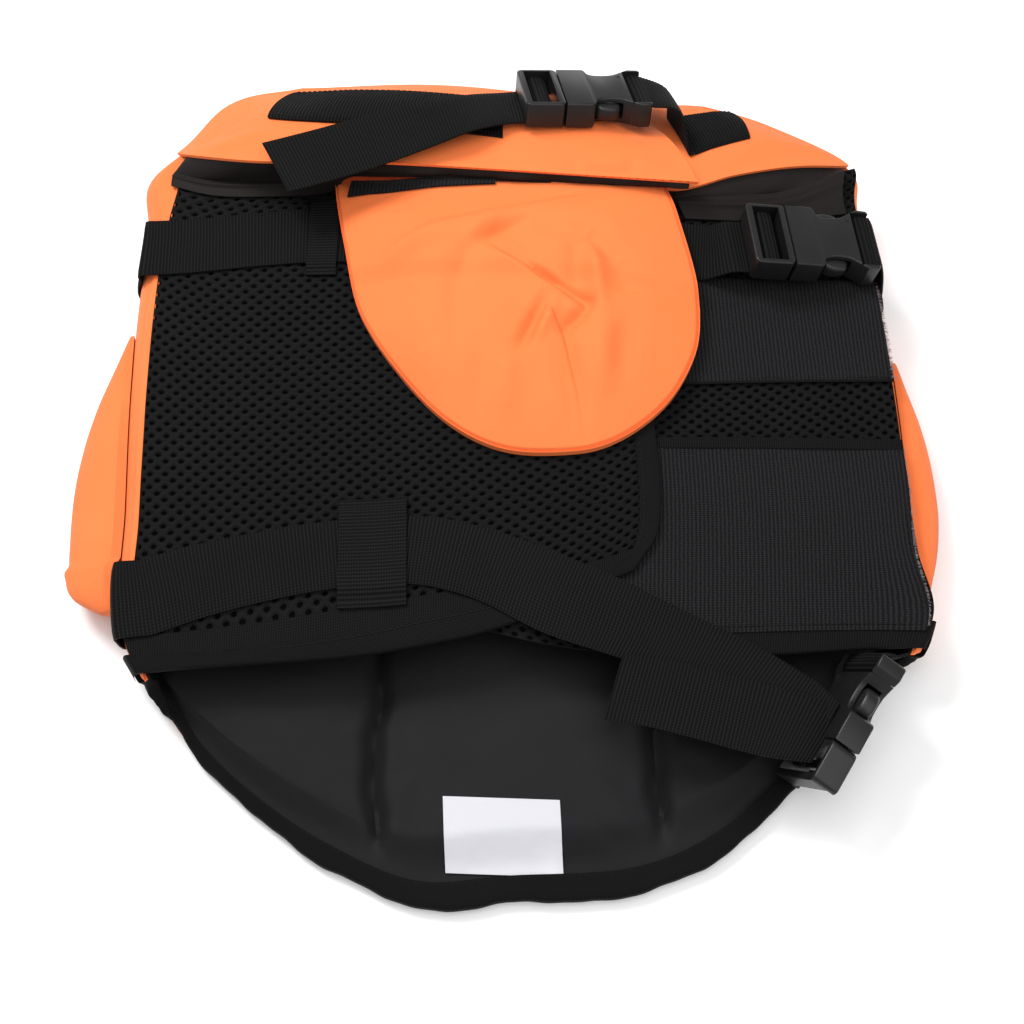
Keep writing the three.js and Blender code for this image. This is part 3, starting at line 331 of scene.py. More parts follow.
side_height = table((-100, 38.5), (-30, SIDE_HEIGHT), (200, SIDE_HEIGHT), (285, 44))
edge_lift = table((0, 3.2), (TAPE_ROW, 2.4), (0.07, 0))


def roll_radius(height):
    return height / (1 - math.cos(ROLL_ANGLE))


def back_point(a, b):
    """The back's outer face: flat between two feet, then a side wall that follows a circle of the
    roll radius from each foot, out to its rim at a right angle and on over it."""
    a, b = np.broadcast_arrays(np.asarray(a, float), np.asarray(b, float))
    zero = np.zeros_like(b)
    left, right = plan(zero, b), plan(zero + 1, b)
    width = np.linalg.norm(right - left, axis=-1)
    radius_left = roll_radius(side_height(left[..., 1]))
    radius_right = roll_radius(side_height(right[..., 1]))
    foot_left = left + unit(plan(zero + 0.1, b) - left) * radius_left[..., None]
    foot_right = right + unit(plan(zero + 0.9, b) - right) * radius_right[..., None]
    lift = edge_lift(b)

    is_left = a < 0.5
    angle = ROLL_ANGLE * (1 - np.where(is_left, a, 1 - a) / WALL_SHARE)
    rim = np.where(is_left[..., None], left, right)
    foot = np.where(is_left[..., None], foot_left, foot_right)
    radius = np.where(is_left, radius_left, radius_right)
    rolled = foot + (rim - foot) * np.sin(angle)[..., None]
    rolled[..., 2] = radius * (1 - np.cos(angle)) + lift * (1 - angle / ROLL_ANGLE)

    across = np.clip((a - WALL_SHARE) / (1 - 2 * WALL_SHARE), 0, 1)
    share_left, share_right = radius_left / width, radius_right / width
    flat = plan(mix(share_left, 1 - share_right, across), b)
    flat = flat + (foot_left - plan(share_left, b)) * ((1 - across) ** 3)[..., None]
    flat = flat + (foot_right - plan(1 - share_right, b)) * (across ** 3)[..., None]
    flat[..., 2] = lift
    return np.where(((a < WALL_SHARE) | (a > 1 - WALL_SHARE))[..., None], rolled, flat)


def wall_point(side, y, angle, gap):
    """A point of a side wall's outer face with a given y and angle of roll, moved out by the gap:
    the row is found by halving."""
    y, angle, gap = np.broadcast_arrays(*(np.asarray(v, float) for v in (y, angle, gap)))
    share = WALL_SHARE * (1 - angle / ROLL_ANGLE)
    a = share if side < 0 else 1 - share
    low, high = np.zeros_like(y), np.ones_like(y)
    for _ in range(24):
        half = (low + high) / 2
        under = back_point(a, half)[..., 1] < y
        low, high = np.where(under, half, low), np.where(under, high, half)
    return back_point(a, low) - normals(back_point, a, low) * gap[..., None]


def angle_at(z, y):
    """Angle of roll where a side wall has height z: the arc cosine of one less z over the radius."""
    return np.arccos(np.clip(1 - z / roll_radius(side_height(y)), -1, 1))


# Lining
CHANNELS = (-75.0, 80.0)
CHANNEL_WIDTH, CHANNEL_DEPTH = 4.6, 0.96
CHANNEL_ROLL, CHANNEL_ROLL_WIDTH = 0.30, 20.0
PAD_EDGE, PAD_TOP_ROW = 17.0, 0.8
PAD_SPAN = {"across": 640.0, "along": 420.0}


def foam_at(a, b):
    """Lining and foam: full inside the pad's edges, eased to nothing over the edge width, and
    pinched by a bell at each sewn channel."""
    x, y, _ = np.moveaxis(back_point(a, b), -1, 0)
    x = x + 1.6 * np.sin(y / 13.0) + 0.8 * np.sin(y / 5.3)
    from_side = np.minimum(a - WALL_SHARE, 1 - WALL_SHARE - a) * PAD_SPAN["across"]
    from_tail = (b - TAPE_ROW) * PAD_SPAN["along"]
    from_neck = (PAD_TOP_ROW - b) * PAD_SPAN["along"]
    rise = ease(from_side / PAD_EDGE) * ease(from_tail / PAD_EDGE) * ease(from_neck / PAD_EDGE)
    pinch = 1.0
    for channel in CHANNELS:
        pinch = pinch * (1 - CHANNEL_DEPTH * bump(x - channel, CHANNEL_WIDTH))
        pinch = pinch * (1 - CHANNEL_ROLL * bump(x - channel, CHANNEL_ROLL_WIDTH))
    return LINING + FOAM * rise * pinch


def lining_top(a, b):
    """The lining's top: the back's surface moved in by the cloth, the seam and the foam."""
    lift = CLOTH + SEAM_GAP + foam_at(a, b)
    return back_point(a, b) + normals(back_point, a, b) * lift[..., None]


# Belly panels
BELLY = {"middle": 1.0, "half": 224.0, "rise": 0.6}
crown = table((-100, 3), (-50, 7), (10, 10), (100, 11), (220, 9))
RIGHT_PANEL_EDGE = -28.0
LOOP_EDGE = 42.0


def belly_height(x, y):
    """Height of the belly's underside: the side walls' height and a crown that falls as a parabola."""
    dome = 1 - np.clip(((x - BELLY["middle"]) / BELLY["half"]) ** 2, 0, 1)
    return side_height(y) + BELLY["rise"] + crown(y) * dome


def overlap_rise(x):
    """What the left panel climbs over the right panel's edge, and over its loop cloth."""
    return ((MESH + LAY_GAP) * ease((x - RIGHT_PANEL_EDGE + 54) / 42)
            + (LOOP_CLOTH + LAY_GAP) * ease((x - LOOP_EDGE + 38) / 34))


def right_top(x, y):
    return belly_height(x, y) + MESH


def left_top(x, y):
    return belly_height(x, y) + overlap_rise(x) + MESH


def side_line(side, start, end, inset):
    """A side wall's rim between two rows, moved sideways and laid in plan."""
    def read(t):
        p = np.array(back_point(side, mix(start, end, np.asarray(t, float))))
        p[..., 0] -= inset
        p[..., 2] = 0.0
        return p
    return read


left_panel_side = side_line(0.0, 0.012, 0.79, 1.5)
left_panel = patch(
    left=left_panel_side,
    bottom=line(left_panel_side(0.0), (-89, -84), (-7, -72), (40, -58), (66, -46)),
    right=line((66, -46), (79, -26), (82, 10), (79, 60), (82, 130), (86, 208)),
    top=line(left_panel_side(1.0), (-160, 221), (-60, 214), (86, 208)))
right_panel_side = side_line(1.0, 0.012, 0.78, -1.5)
RIGHT_LOW, RIGHT_HIGH = (RIGHT_PANEL_EDGE, -70), (RIGHT_PANEL_EDGE, 196)
right_panel = patch(
    left=line(RIGHT_LOW, (RIGHT_PANEL_EDGE, 60), RIGHT_HIGH),
    bottom=line(RIGHT_LOW, (57, -88), (127, -90), right_panel_side(0.0)),
    right=right_panel_side,
    top=line(RIGHT_HIGH, (100, 198), right_panel_side(1.0)))
LEFT_TAPE = {"column": 0.962, "row": 0.042}
RIGHT_TAPE_ROW = 0.045


def on_plan(plan_patch, height):
    """A plan surface lifted to a height(x, y)."""
    def surface(a, b):
        p = np.array(plan_patch(a, b))
        p[..., 2] = height(p[..., 0], p[..., 1])
        return p
    return surface


def straight(first, last):
    return line(first, last)


def loop_plan(lower, upper, *between):
    """Plan of a loop panel from its lower and upper (left y, right x, right y), and the points
    between those along its right edge."""
    return patch(left=straight((LOOP_EDGE, lower[0]), (LOOP_EDGE, upper[0])),
                 right=line(lower[1:], *between, upper[1:]),
                 bottom=straight((LOOP_EDGE, lower[0]), lower[1:]),
                 top=straight((LOOP_EDGE, upper[0]), upper[1:]))


LOOPS = {
    "loop_panel_upper": loop_plan((68, 224, 78), (142, 219.5, 146)),
    "loop_panel_lower": loop_plan((-80, 219.5, -77), (34, 224.5, 38), (225.2, -5)),
}

# Side floats
FLOATS = {
    "side_float_left": {"side": -1, "edge": (
        (-60, 8), (-52, 22), (-38, 29), (-15, 32), (15, 31.5), (45, 27), (77, 18.5), (100, 10), (119, 3))},
    "side_float_right": {"side": 1, "edge": (
        (-46, 4), (-36, 9), (-8, 16), (25, 17), (58, 13), (86, 6), (100, 3))},
}
FLOAT = {"half": 15.0, "middle": 19.0, "tip_half": 4.0, "tip_rise": 5.0, "roundness": 0.8, "gap": 0.8,
         "rings": 90, "foot": 15, "around": 40, "seam": 0.9, "seam_width": 0.1}
STRAP_ROOM = {"start": -30.0, "over": 6.0, "gap": 3.6}

# Buckles: a middle, the long direction and the width direction
BUCKLES = {
    "neck": ((43.7, 259.2, 78.4), (0.987, 0.1, -0.122), (-0.14, 0.911, -0.389)),
    "upper": ((177.8, 161.2, 64), (0.973, 0.057, -0.185), (-0.084, 0.99, -0.112)),
    "lower": ((175, -129, 41), (0.53, 0.836, 0.14), (-0.272, 0.325, -0.906)),
}
BUCKLE = {"width": 46.0, "depth": 16.0, "male": 25.0, "female": 53.0}


def in_buckle(name, points):
    """Points of a buckle's own frame, whose origin is where its halves meet, put in place."""
    middle, along, width = (np.array(v, float) for v in BUCKLES[name])
    x = unit(along)
    z = unit(np.cross(x, width))
    y = np.cross(z, x)
    origin = middle + x * (BUCKLE["male"] - BUCKLE["female"]) / 2
    return origin + np.asarray(points, float) @ np.stack([x, y, z])


# Straps: rows of three points, from the webbing's right edge to its left
ACROSS = np.array([-0.5, 0.0, 0.5]) * WEBBING_WIDTH


def laid_rows(path, height, count):
    """Rows on a height over a plan line, each at a right angle to it."""
    t = np.linspace(0, 1, count + 1)
    p = path(t)
    ahead = unit((path(np.minimum(1, t + 0.01)) - path(np.maximum(0, t - 0.01))) * (1, 1, 0))
    x = p[:, None, 0] - ahead[:, None, 1] * ACROSS
    y = p[:, None, 1] + ahead[:, None, 0] * ACROSS
    return np.stack([x, y, height(x, y)], axis=-1)


def wrap_rows(side, middle):
    """Rows that come up a side wall and over the edge of the belly panel."""
    y = middle + ACROSS
    rows = [wall_point(side, y, math.radians(angle), LAY_GAP + 0.2) for angle in (50, 70, 90, 108)]
    rim = wall_point(side, y, ROLL_ANGLE, 0.0)
    for outwards, rise in ((4.4, -1.5), (4.0, 4.7)):
        rows.append(np.stack([rim[:, 0] + side * outwards, y, side_height(y) + rise], axis=-1))
    return np.array(rows)


def buckle_rows(name, places):
    """Rows in a buckle's frame from (x, z) places."""
    return np.array([in_buckle(name, [(x, w, z) for w in ACROSS]) for x, z in places])


def free_rows(places):
    """Rows through the air from (middle, direction across) pairs."""
    return np.array([np.array(middle) + ACROSS[:, None] * unit(np.array(across, float))
                     for middle, across in places])


upper_y = table((-217, 170), (-117, 175), (0, 171), (115, 160))
upper_path = line(*((x, float(upper_y(x))) for x in (-217, -190, -150, -117, -60, 0, 60, 115)))
lower_path = line((-201, -56), (-171, -48), (-101, -36), (-61, -34), (-18, -42), (27, -60),
                  (70, -79), (113, -99), (152, -126))
LOWER_END_HEIGHT = 49.0
LOWER_SEAT = (0.5, -8.0)


def strap_height(x, y):
    return left_top(np.minimum(x, 84), y) + LAY_GAP + 0.15 + 0.8 * ease((-x - 206) / 8)


def upper_height(x, y):
    return mix(strap_height(x, y), 55.5, ease((x - 88) / 30))


def lower_height(x, y):
    return mix(strap_height(x, np.maximum(y, -95)), LOWER_END_HEIGHT, ease((x - 60) / 60))


LADDER = ((-34, -7.4), (-27, -6.9), (-21.5, -6.4), (-18.6, -4.6), (-17.2, 0.8), (-15.6, 3.0),
          (-12.8, 3.1), (-9.6, 2.2), (-8.3, -1.5))
REAR_BAR = ((44.3, -1.5), (44.6, 2.4), (46.6, 4.3), (50, 4.4), (54, 3.4))
FREE_END = tuple((middle, (0.28, 0.96, 0)) for middle in (
    (54, -113, 53.5), (78, -117, 53.5), (101, -123, 53.2), (122, -129, 53))) + (
    ((141, -134, 52.8), (0.42, 0.9, 0)), ((156, -137, 52.2), (0.52, 0.85, -0.05)),
    ((166.5, -138.5, 50.5), (0.56, 0.82, -0.08)))
BEHIND_BUCKLE = (((200.5, -95.5, 44), (-0.25, 0.24, -0.93)), ((205, -94.5, 42), (-0.3, 0.16, -0.94)))

# Chin float
CHIN_MIDDLE = np.array([-2.0, 118.0])
chin_outline = line((0, 221), (-60, 222), (-108, 221), (-108, 204), (-101, 163), (-90, 117), (-65, 74),
                    (-41, 45), (-18, 29), (2, 22.5), (41, 22.5), (61, 30), (81, 45), (95, 62), (107, 88),
                    (110, 110), (109, 133), (102, 172), (95, 200), (88, 214), (50, 219), (0, 221))
CHIN_THICK, CHIN_RIM = 17.0, 5.0


def chin_under(x, y):
    strapped = ease((WEBBING_WIDTH / 2 + 22 - np.abs(y - upper_y(x))) / 14) * (WEBBING + LAY_GAP + 0.8)
    return left_top(np.minimum(x, 84), y) + LAY_GAP + strapped + 1.6 * ease((y - 190) / 12)


def neckward(y):
    """Share of its thickness that the chin float keeps where the neck flap presses on it."""
    return mix(1, 0.38, ease((y - 165) / 42))


# Neck flaps
NECK_FROM = (0.8, 0.79)   # where the flaps start along the left and right side
FLAP_LIFT = SEAM_GAP + CLOTH * 0.4


def flap_side(side):
    """A side wall's rim from where the flap starts up to the neck."""
    def read(t):
        row = mix(NECK_FROM[int(side)], 1.0, np.asarray(t, float))
        return back_point(side, row) + (0, 0, FLAP_LIFT)
    return read


def flap_surface(bottom, top, left, right, bulge):
    """A Coons patch that bulges up as a parabola between its lower edge and its rim."""
    base = patch(bottom, top, left, right)

    def surface(a, b):
        p = np.array(base(a, b))
        p[..., 2] += bulge * 4 * b * (1 - b) * ease(a / 0.25) * ease((1 - a) / 0.25)
        return p
    return surface


left_flap_edge = line(flap_side(0.0)(0.0), (-188, 226, 59), (-151, 212, 75), (-98, 211, 77),
                      (-5, 205, 77), (55, 201, 76), (112, 197, 75))
left_flap = flap_surface(
    bottom=left_flap_edge, left=flap_side(0.0), bulge=7.0,
    top=line(flap_side(0.0)(1.0), (-59, 294, 47), (-8, 289, 48), (45, 275, 52), (88, 249, 61)),
    right=line((112, 197, 75), (105, 215, 74), (97, 232, 70), (88, 249, 61)))
right_flap_edge = line((62, 214, 58), (100, 203, 60), (137, 213, 61), (178, 224, 57),
                       flap_side(1.0)(0.0))
right_flap = flap_surface(
    bottom=right_flap_edge, right=flap_side(1.0), bulge=5.0,
    top=line((44, 282, 42), (90, 280, 44), flap_side(1.0)(1.0)),
    left=line((62, 214, 58), (52, 244, 51), (44, 282, 42)))
left_facing_foot = line((-200, 222, 49.5), (-184, 216, 51.5), (-150, 214, 55), (-104, 209, 69.5),
                        (-5, 204, 71), (55, 201, 70.5), (106, 198, 70))
right_facing_foot = line((100, 200, 58), (137, 203, 55.5), (172, 210, 52.5), (197, 225, 55.4))
NECK_FREE_END = (
    ((-141, 200, 86), (-0.44, 0.9, 0)), ((-112, 209, 87), (-0.4, 0.91, 0)),
    ((-82, 220, 87), (-0.36, 0.93, -0.04)), ((-50, 233, 86), (-0.3, 0.93, -0.18)),
    ((-25, 243, 84), (-0.2, 0.92, -0.32)))
NECK_RIGHT = (((99, 259, 75.5), (-0.15, 0.86, -0.48)),)
LABEL = {"width": 63.0, "height": 35.0, "x": -5.0, "y": -181.5, "gap": 0.9, "slant": 1.6, "tilt": 2.2,
         "curl": 1.2, "thick": 0.5}


# Sizes and colours that a user would change

def length_property(label, text, value):
    return bpy.props.FloatProperty(name=label, description=text, default=value * MM, min=0.0,
                                   unit="LENGTH", precision=4)


def colour_property(label, text, value):
    return bpy.props.FloatVectorProperty(name=label, description=text, default=value, size=3,
                                         min=0.0, max=1.0, subtype="COLOR")


class JacketSizes(bpy.types.PropertyGroup):
    """Sizes of the jacket's finer forms."""
    rib_pitch: length_property("Rib pitch", "From rib to rib along the webbing", 2.0)
    rib_depth: length_property("Rib depth", "How deep the webbing's ribs are", 0.34)
    tape_rib: length_property("Tape rib pitch", "From rib to rib along the binding tape", 1.35)
    hole_pitch: length_property("Hole pitch", "From hole to hole in a row of the spacer mesh", 9.2)
    hole_rows: length_property("Hole rows", "From row to row of the spacer mesh", 3.7)
    hole_depth: length_property("Hole depth", "Depth of the spacer mesh's holes", 1.7)
    thread: length_property("Thread", "Thickness of the sewing thread", 0.55)
    stitch: length_property("Stitch", "Length of one stitch", 2.6)
    cloth_thread: length_property("Cloth thread", "Width of one thread of the orange cloth", 0.55)
    lining_thread: length_property("Lining thread", "Width of one thread of the lining", 0.4)


class JacketColours(bpy.types.PropertyGroup):
    """Colours of the jacket's materials, as linear light."""
    orange: colour_property("Orange", "Orange cloth", (0.90, 0.245, 0.072))
    # the deep orange is the dark end of the cloth's colour: random tone, and painted shade between the
    # weave's threads
    orange_deep: colour_property("Deep orange", "Orange cloth in its creases", (0.93, 0.13, 0.024))
    lining: colour_property("Lining", "Black lining", (0.0062, 0.0062, 0.0066))
    mesh: colour_property("Mesh", "Spacer mesh", (0.0092, 0.0092, 0.0094))
    loop: colour_property("Loop cloth", "Loop fastener cloth", (0.0210, 0.0210, 0.0225))
    tape: colour_property("Tape", "Binding tape", (0.0110, 0.0110, 0.0112))
    webbing: colour_property("Webbing", "Strap webbing", (0.0130, 0.0130, 0.0130))
    facing: colour_property("Facing", "Facing under the neck flaps", (0.0075, 0.0058, 0.0055))
    buckle: colour_property("Buckle", "Buckle plastic", (0.0125, 0.0122, 0.0122))
    label: colour_property("Label", "Plain label", (0.58, 0.58, 0.615))
    floor: colour_property("Floor", "Floor under the jacket", (0.90, 0.90, 0.90))


def size(name):
    """A size in millimetres."""
    return getattr(bpy.context.scene.jacket_sizes, name) / MM


def colour(name):
    return (*getattr(bpy.context.scene.jacket_colours, name), 1.0)


# Materials

class Nodes:
    """Adds nodes to a tree; an input may be a value or another node's output."""

    def __init__(self, tree):
        self.tree = tree

    def add(self, kind, inputs=None, **settings):
        node = self.tree.nodes.new("ShaderNode" + kind)
        for key, value in settings.items():
            setattr(node, key, value)
        for key, value in (inputs or {}).items():
            self.set(node.inputs[key], value)
        return node

    def set(self, socket, value):
        if isinstance(value, bpy.types.NodeSocket):
            self.tree.links.new(value, socket)
        else:
            socket.default_value = value

    def math(self, operation, a, b=0.0, c=0.0):
        return self.add("Math", {0: a, 1: b, 2: c}, operation=operation).outputs[0]

    def blend(self, factor, a, b):
        node = self.add("Mix", data_type="RGBA")
        self.set(node.inputs[0], factor)
        self.set(node.inputs[6], a)
        self.set(node.inputs[7], b)
        return node.outputs[2]

    def colours(self, shader, factor, dark, light):
        self.set(shader.inputs["Base Color"], self.blend(factor, dark, light))

    def group(self, tree, **inputs):
        node = self.add("Group", node_tree=tree)
        for key, value in inputs.items():
            self.set(node.inputs[key.replace("_", " ").capitalize()], value)
        return node


def effect(name, inputs, outputs):
    """A new shader node group with named sockets: returns its tree, its builder and its ends."""
    tree = bpy.data.node_groups.new(name, "ShaderNodeTree")
    for label, kind in inputs:
        tree.interface.new_socket(label, in_out="INPUT", socket_type="NodeSocket" + kind)
    for label, kind in outputs:
        tree.interface.new_socket(label, in_out="OUTPUT", socket_type="NodeSocket" + kind)
    nodes = Nodes(tree)
    start = tree.nodes.new("NodeGroupInput")
    end = tree.nodes.new("NodeGroupOutput")
    return tree, nodes, start.outputs, end.inputs


def weave_effect():
    """Plain weave: on each square of a checker either the warp or the weft is a raised half wave."""
    tree, n, given, out = effect("Weave", [("Place", "Vector"), ("Thread", "Float")],
                                 [("Height", "Float"), ("Shade", "Float")])
    u, v = (n.math("DIVIDE", n.add("SeparateXYZ", {0: given["Place"]}).outputs[k], given["Thread"])
            for k in (0, 1))
    warp = n.math("ABSOLUTE", n.math("SINE", n.math("MULTIPLY", u, math.pi)))
    weft = n.math("ABSOLUTE", n.math("SINE", n.math("MULTIPLY", v, math.pi)))
    parity = n.math("ABSOLUTE", n.math("MODULO", n.math("ADD", n.math("FLOOR", u), n.math("FLOOR", v)), 2.0))
    over = n.math("MULTIPLY", parity, warp)
    under = n.math("MULTIPLY", n.math("SUBTRACT", 1.0, parity), weft)
    height = n.math("ADD", over, under)
    n.set(out["Height"], height)
    # Shade: painted shade, darker where the threads are low between each other, with the checker's parity
    n.set(out["Shade"], n.math("MULTIPLY_ADD", parity, 0.35, n.math("MULTIPLY", height, 0.65)))
    return tree


def rib_effect():
    """Ribs: a raised cosine along the first coordinate, crossed by a finer one along the second."""
    tree, n, given, out = effect("Ribs", [("Place", "Vector"), ("Pitch", "Float"), ("Cross pitch", "Float")],
                                 [("Height", "Float")])
    place = n.add("SeparateXYZ", {0: given["Place"]}).outputs

    def wave(coordinate, pitch):
        turns = n.math("DIVIDE", coordinate, pitch)
        return n.math("MULTIPLY_ADD", n.math("COSINE", n.math("MULTIPLY", turns, 2 * math.pi)), 0.5, 0.5)
    n.set(out["Height"], n.math("MULTIPLY_ADD", wave(place[1], given["Cross pitch"]), 0.35,
                                n.math("MULTIPLY", wave(place[0], given["Pitch"]), 0.65)))
    return tree


def tone_effect():
    """Uneven tone: broad noise with a little fine noise, between 0 and 1."""
    tree, n, given, out = effect("Tone", [("Place", "Vector"), ("Broad", "Float"), ("Fine", "Float")],
                                 [("Value", "Float")])
    broad = n.add("TexNoise", {"Vector": given["Place"], "Scale": given["Broad"], "Detail": 3.0})
    fine = n.add("TexNoise", {"Vector": given["Place"], "Scale": given["Fine"], "Detail": 2.0})
    n.set(out["Value"], n.math("MULTIPLY_ADD", fine.outputs["Fac"], 0.3,
                               n.math("MULTIPLY", broad.outputs["Fac"], 0.7)))
    return tree


EFFECTS = {}


def effects(name):
    """The shared effect of that name, built once."""
    if name not in EFFECTS:
        EFFECTS[name] = {"weave": weave_effect, "ribs": rib_effect, "tone": tone_effect}[name]()
    return EFFECTS[name]


def material(name, build):
    """The material of that name: build(nodes, shader) sets it up the first time."""
    found = bpy.data.materials.get(name)
    if found:
        return found
    made = bpy.data.materials.new(name)
    made.use_nodes = True
    nodes = Nodes(made.node_tree)
    shader = made.node_tree.nodes["Principled BSDF"]
    build(nodes, shader)
    return made


def grey(level):
    return (level, level, level, 1)


def flat_place(n):
    return n.add("UVMap", uv_map="Lay").outputs["UV"]


def object_place(n):
    return n.add("TexCoord").outputs["Object"]


def tone(n, broad, fine):
    return n.group(effects("tone"), place=object_place(n), broad=broad, fine=fine).outputs["Value"]


def woven(n, thread):
    """A weave over the piece's flat places, from the width of its thread in millimetres."""
    return n.group(effects("weave"), place=flat_place(n), thread=thread * MM)


def raise_normal(n, shader, height, depth):
    """A bump of the given depth in metres on the shader's normal."""
    bumped = n.add("Bump", {"Height": height, "Distance": depth, "Strength": 1.0})
    n.set(shader.inputs["Normal"], bumped.outputs["Normal"])


def finish(shader, roughness, sheen=0.0, specular=0.5, sheen_tint=(1, 1, 1, 1), sheen_roughness=0.5):
    shader.inputs["Roughness"].default_value = roughness
    shader.inputs["Sheen Weight"].default_value = sheen
    shader.inputs["Sheen Roughness"].default_value = sheen_roughness
    shader.inputs["Sheen Tint"].default_value = sheen_tint
    shader.inputs["Specular IOR Level"].default_value = specular


def orange_cloth(n, shader):
    """Coated oxford cloth: fine plain weave, with painted shade between its threads and a deeper colour in
    worn places.
    """
    weave = woven(n, size("cloth_thread"))
    value = tone(n, 9.0, 900.0)
    # painted shade: the weave's low places between the threads pull the colour towards the deep orange
    shade = n.math("MULTIPLY_ADD", weave.outputs["Shade"], 0.16, n.math("MULTIPLY_ADD", value, 0.5, 0.22))
    n.colours(shader, shade, colour("orange_deep"), colour("orange"))
    raise_normal(n, shader, weave.outputs["Height"], 0.00009)
    finish(shader, 0.62, sheen=0.05, specular=0.2, sheen_tint=(1.0, 0.75, 0.55, 1))


def black_lining(n, shader):
    """Nylon lining: a finer weave with a soft gloss."""
    weave = woven(n, size("lining_thread"))
    value = tone(n, 14.0, 500.0)
    n.colours(shader, value, colour("lining"), (0.0135, 0.0135, 0.015, 1))
    raise_normal(n, shader, weave.outputs["Height"], 0.00005)
    finish(shader, 0.42, sheen=0.02, specular=0.10)


def facing_cloth(n, shader):
    value = tone(n, 20.0, 500.0)
    weave = woven(n, size("lining_thread"))
    n.colours(shader, value, colour("facing"), (0.0125, 0.0095, 0.009, 1))
    raise_normal(n, shader, weave.outputs["Height"], 0.00005)
    finish(shader, 0.5, sheen=0.02, specular=0.1)


def spacer_mesh(n, shader):
    """Knitted strands: slanting yarn lines with a dull sheen, and painted shade where the yarn is low."""
    place = n.add("Mapping", {"Vector": flat_place(n), "Rotation": (0, 0, math.radians(38))}).outputs[0]
    yarn = n.group(effects("ribs"), place=place, pitch=0.00075, cross_pitch=0.0011)
    value = tone(n, 30.0, 1400.0)
    # painted shade: the colour follows the yarn's height, darker between the strands, mixed with random tone
    shade = n.math("MULTIPLY", n.math("ADD", value, yarn.outputs["Height"]), 0.5)
    n.colours(shader, shade, (0.0035, 0.0035, 0.0036, 1), colour("mesh"))
    raise_normal(n, shader, yarn.outputs["Height"], 0.00025)
    finish(shader, 0.6, sheen=0.02, specular=0.05, sheen_roughness=0.4)


# The holes' floors: darker for the spacer fabric's black backing, and with painted shade for the holes'
# depth.
def hole_floor_painted_shade(n, shader):
    n.colours(shader, tone(n, 60.0, 1500.0), grey(0.0012), grey(0.0025))
    finish(shader, 0.95, specular=0.02)


def loop_cloth(n, shader):
    """Brushed loops in wavering columns: stretched noise over ribs, with a fuzzy sheen, and painted shade
    where the loops are low.
    """
    place = flat_place(n)
    noise = n.add("TexNoise", {"Vector": place, "Scale": 260.0, "Detail": 3.0})
    waver = n.add("VectorMath", {0: noise.outputs["Color"], 1: (0.0012, 0.0012, 0.0)}, operation="MULTIPLY")
    moved = n.add("VectorMath", {0: place, 1: waver.outputs[0]}, operation="ADD").outputs[0]
    columns = n.group(effects("ribs"), place=moved, pitch=0.0023, cross_pitch=0.0013)
    fuzz = n.add("TexNoise", {"Vector": place, "Scale": 1500.0, "Detail": 4.0, "Roughness": 0.7})
    ridges = n.math("MULTIPLY", columns.outputs["Height"], 0.6)
    height = n.math("MULTIPLY_ADD", fuzz.outputs["Fac"], 0.9, ridges)
    # painted shade: the colour follows the loops' height, darkest in the hollows between them
    n.colours(shader, n.math("POWER", height, 2.4), (0.0015, 0.0015, 0.0018, 1), colour("loop"))
    raise_normal(n, shader, height, 0.0007)
    finish(shader, 0.9, sheen=0.04, specular=0.06, sheen_roughness=0.35, sheen_tint=(0.85, 0.88, 1.0, 1))


def ribbed(name, light, pitch, cross, depth):
    """Ribbed tape or webbing: threads across a rib, with a painted highlight on the crown of each rib and
    painted shade between the ribs.
    """
    def build(n, shader):
        ribs = n.group(effects("ribs"), place=flat_place(n), pitch=pitch * MM, cross_pitch=cross * MM)
        value = tone(n, 22.0, 1800.0)
        # painted light: the colour follows the ribs' height, lit on each crown and shaded between the ribs,
        # over random tone
        crown = n.math("POWER", ribs.outputs["Height"], 1.8)
        shade = n.math("MULTIPLY_ADD", value, 0.25, n.math("MULTIPLY", crown, 0.85))
        n.colours(shader, shade, grey(0.0018), light)
        raise_normal(n, shader, ribs.outputs["Height"], depth * MM)
        finish(shader, 0.62, sheen=0.01, specular=0.035, sheen_roughness=0.4)
    return material(name, build)


def webbing_material():
    return ribbed("webbing ribs", colour("webbing"), size("rib_pitch"), 1.5, 0.22)


def tape_material():
    return ribbed("grosgrain tape", colour("tape"), size("tape_rib"), 1.1, 0.18)


def buckle_plastic(n, shader):
    """Moulded acetal: satin, with a very fine grain and slightly rubbed patches."""
    grain = n.add("TexNoise", {"Vector": object_place(n), "Scale": 2600.0, "Detail": 2.0})
    rub = tone(n, 45.0, 600.0)
    n.colours(shader, rub, (0.0065, 0.0065, 0.0068, 1), colour("buckle"))
    n.set(shader.inputs["Roughness"], n.math("MULTIPLY_ADD", rub, 0.14, 0.26))
    raise_normal(n, shader, grain.outputs["Fac"], 0.00003)
    shader.inputs["Specular IOR Level"].default_value = 0.32


LABEL_THREAD = 0.3


def label_cloth(n, shader):
    weave = woven(n, LABEL_THREAD)
    value = tone(n, 25.0, 700.0)
    n.colours(shader, value, (0.54, 0.54, 0.575, 1), colour("label"))
    raise_normal(n, shader, weave.outputs["Height"], 0.00003)
    finish(shader, 0.5, sheen=0.05, specular=0.4)


def black_thread(n, shader):
    twist = n.add("TexWave", {"Vector": object_place(n), "Scale": 900.0, "Distortion": 0.0})
    n.colours(shader, twist.outputs["Fac"], grey(0.003), grey(0.009))
    finish(shader, 0.6, sheen=0.02, specular=0.12)


def pale_thread(n, shader):
    n.colours(shader, tone(n, 200.0, 2000.0), (0.05, 0.03, 0.035, 1), (0.42, 0.33, 0.34, 1))
    finish(shader, 0.6, sheen=0.1, specular=0.4)


def pale_floor(n, shader):
    n.colours(shader, tone(n, 2.0, 60.0), colour("floor"), grey(0.92))
    finish(shader, 0.85, specular=0.15)


# Shapes

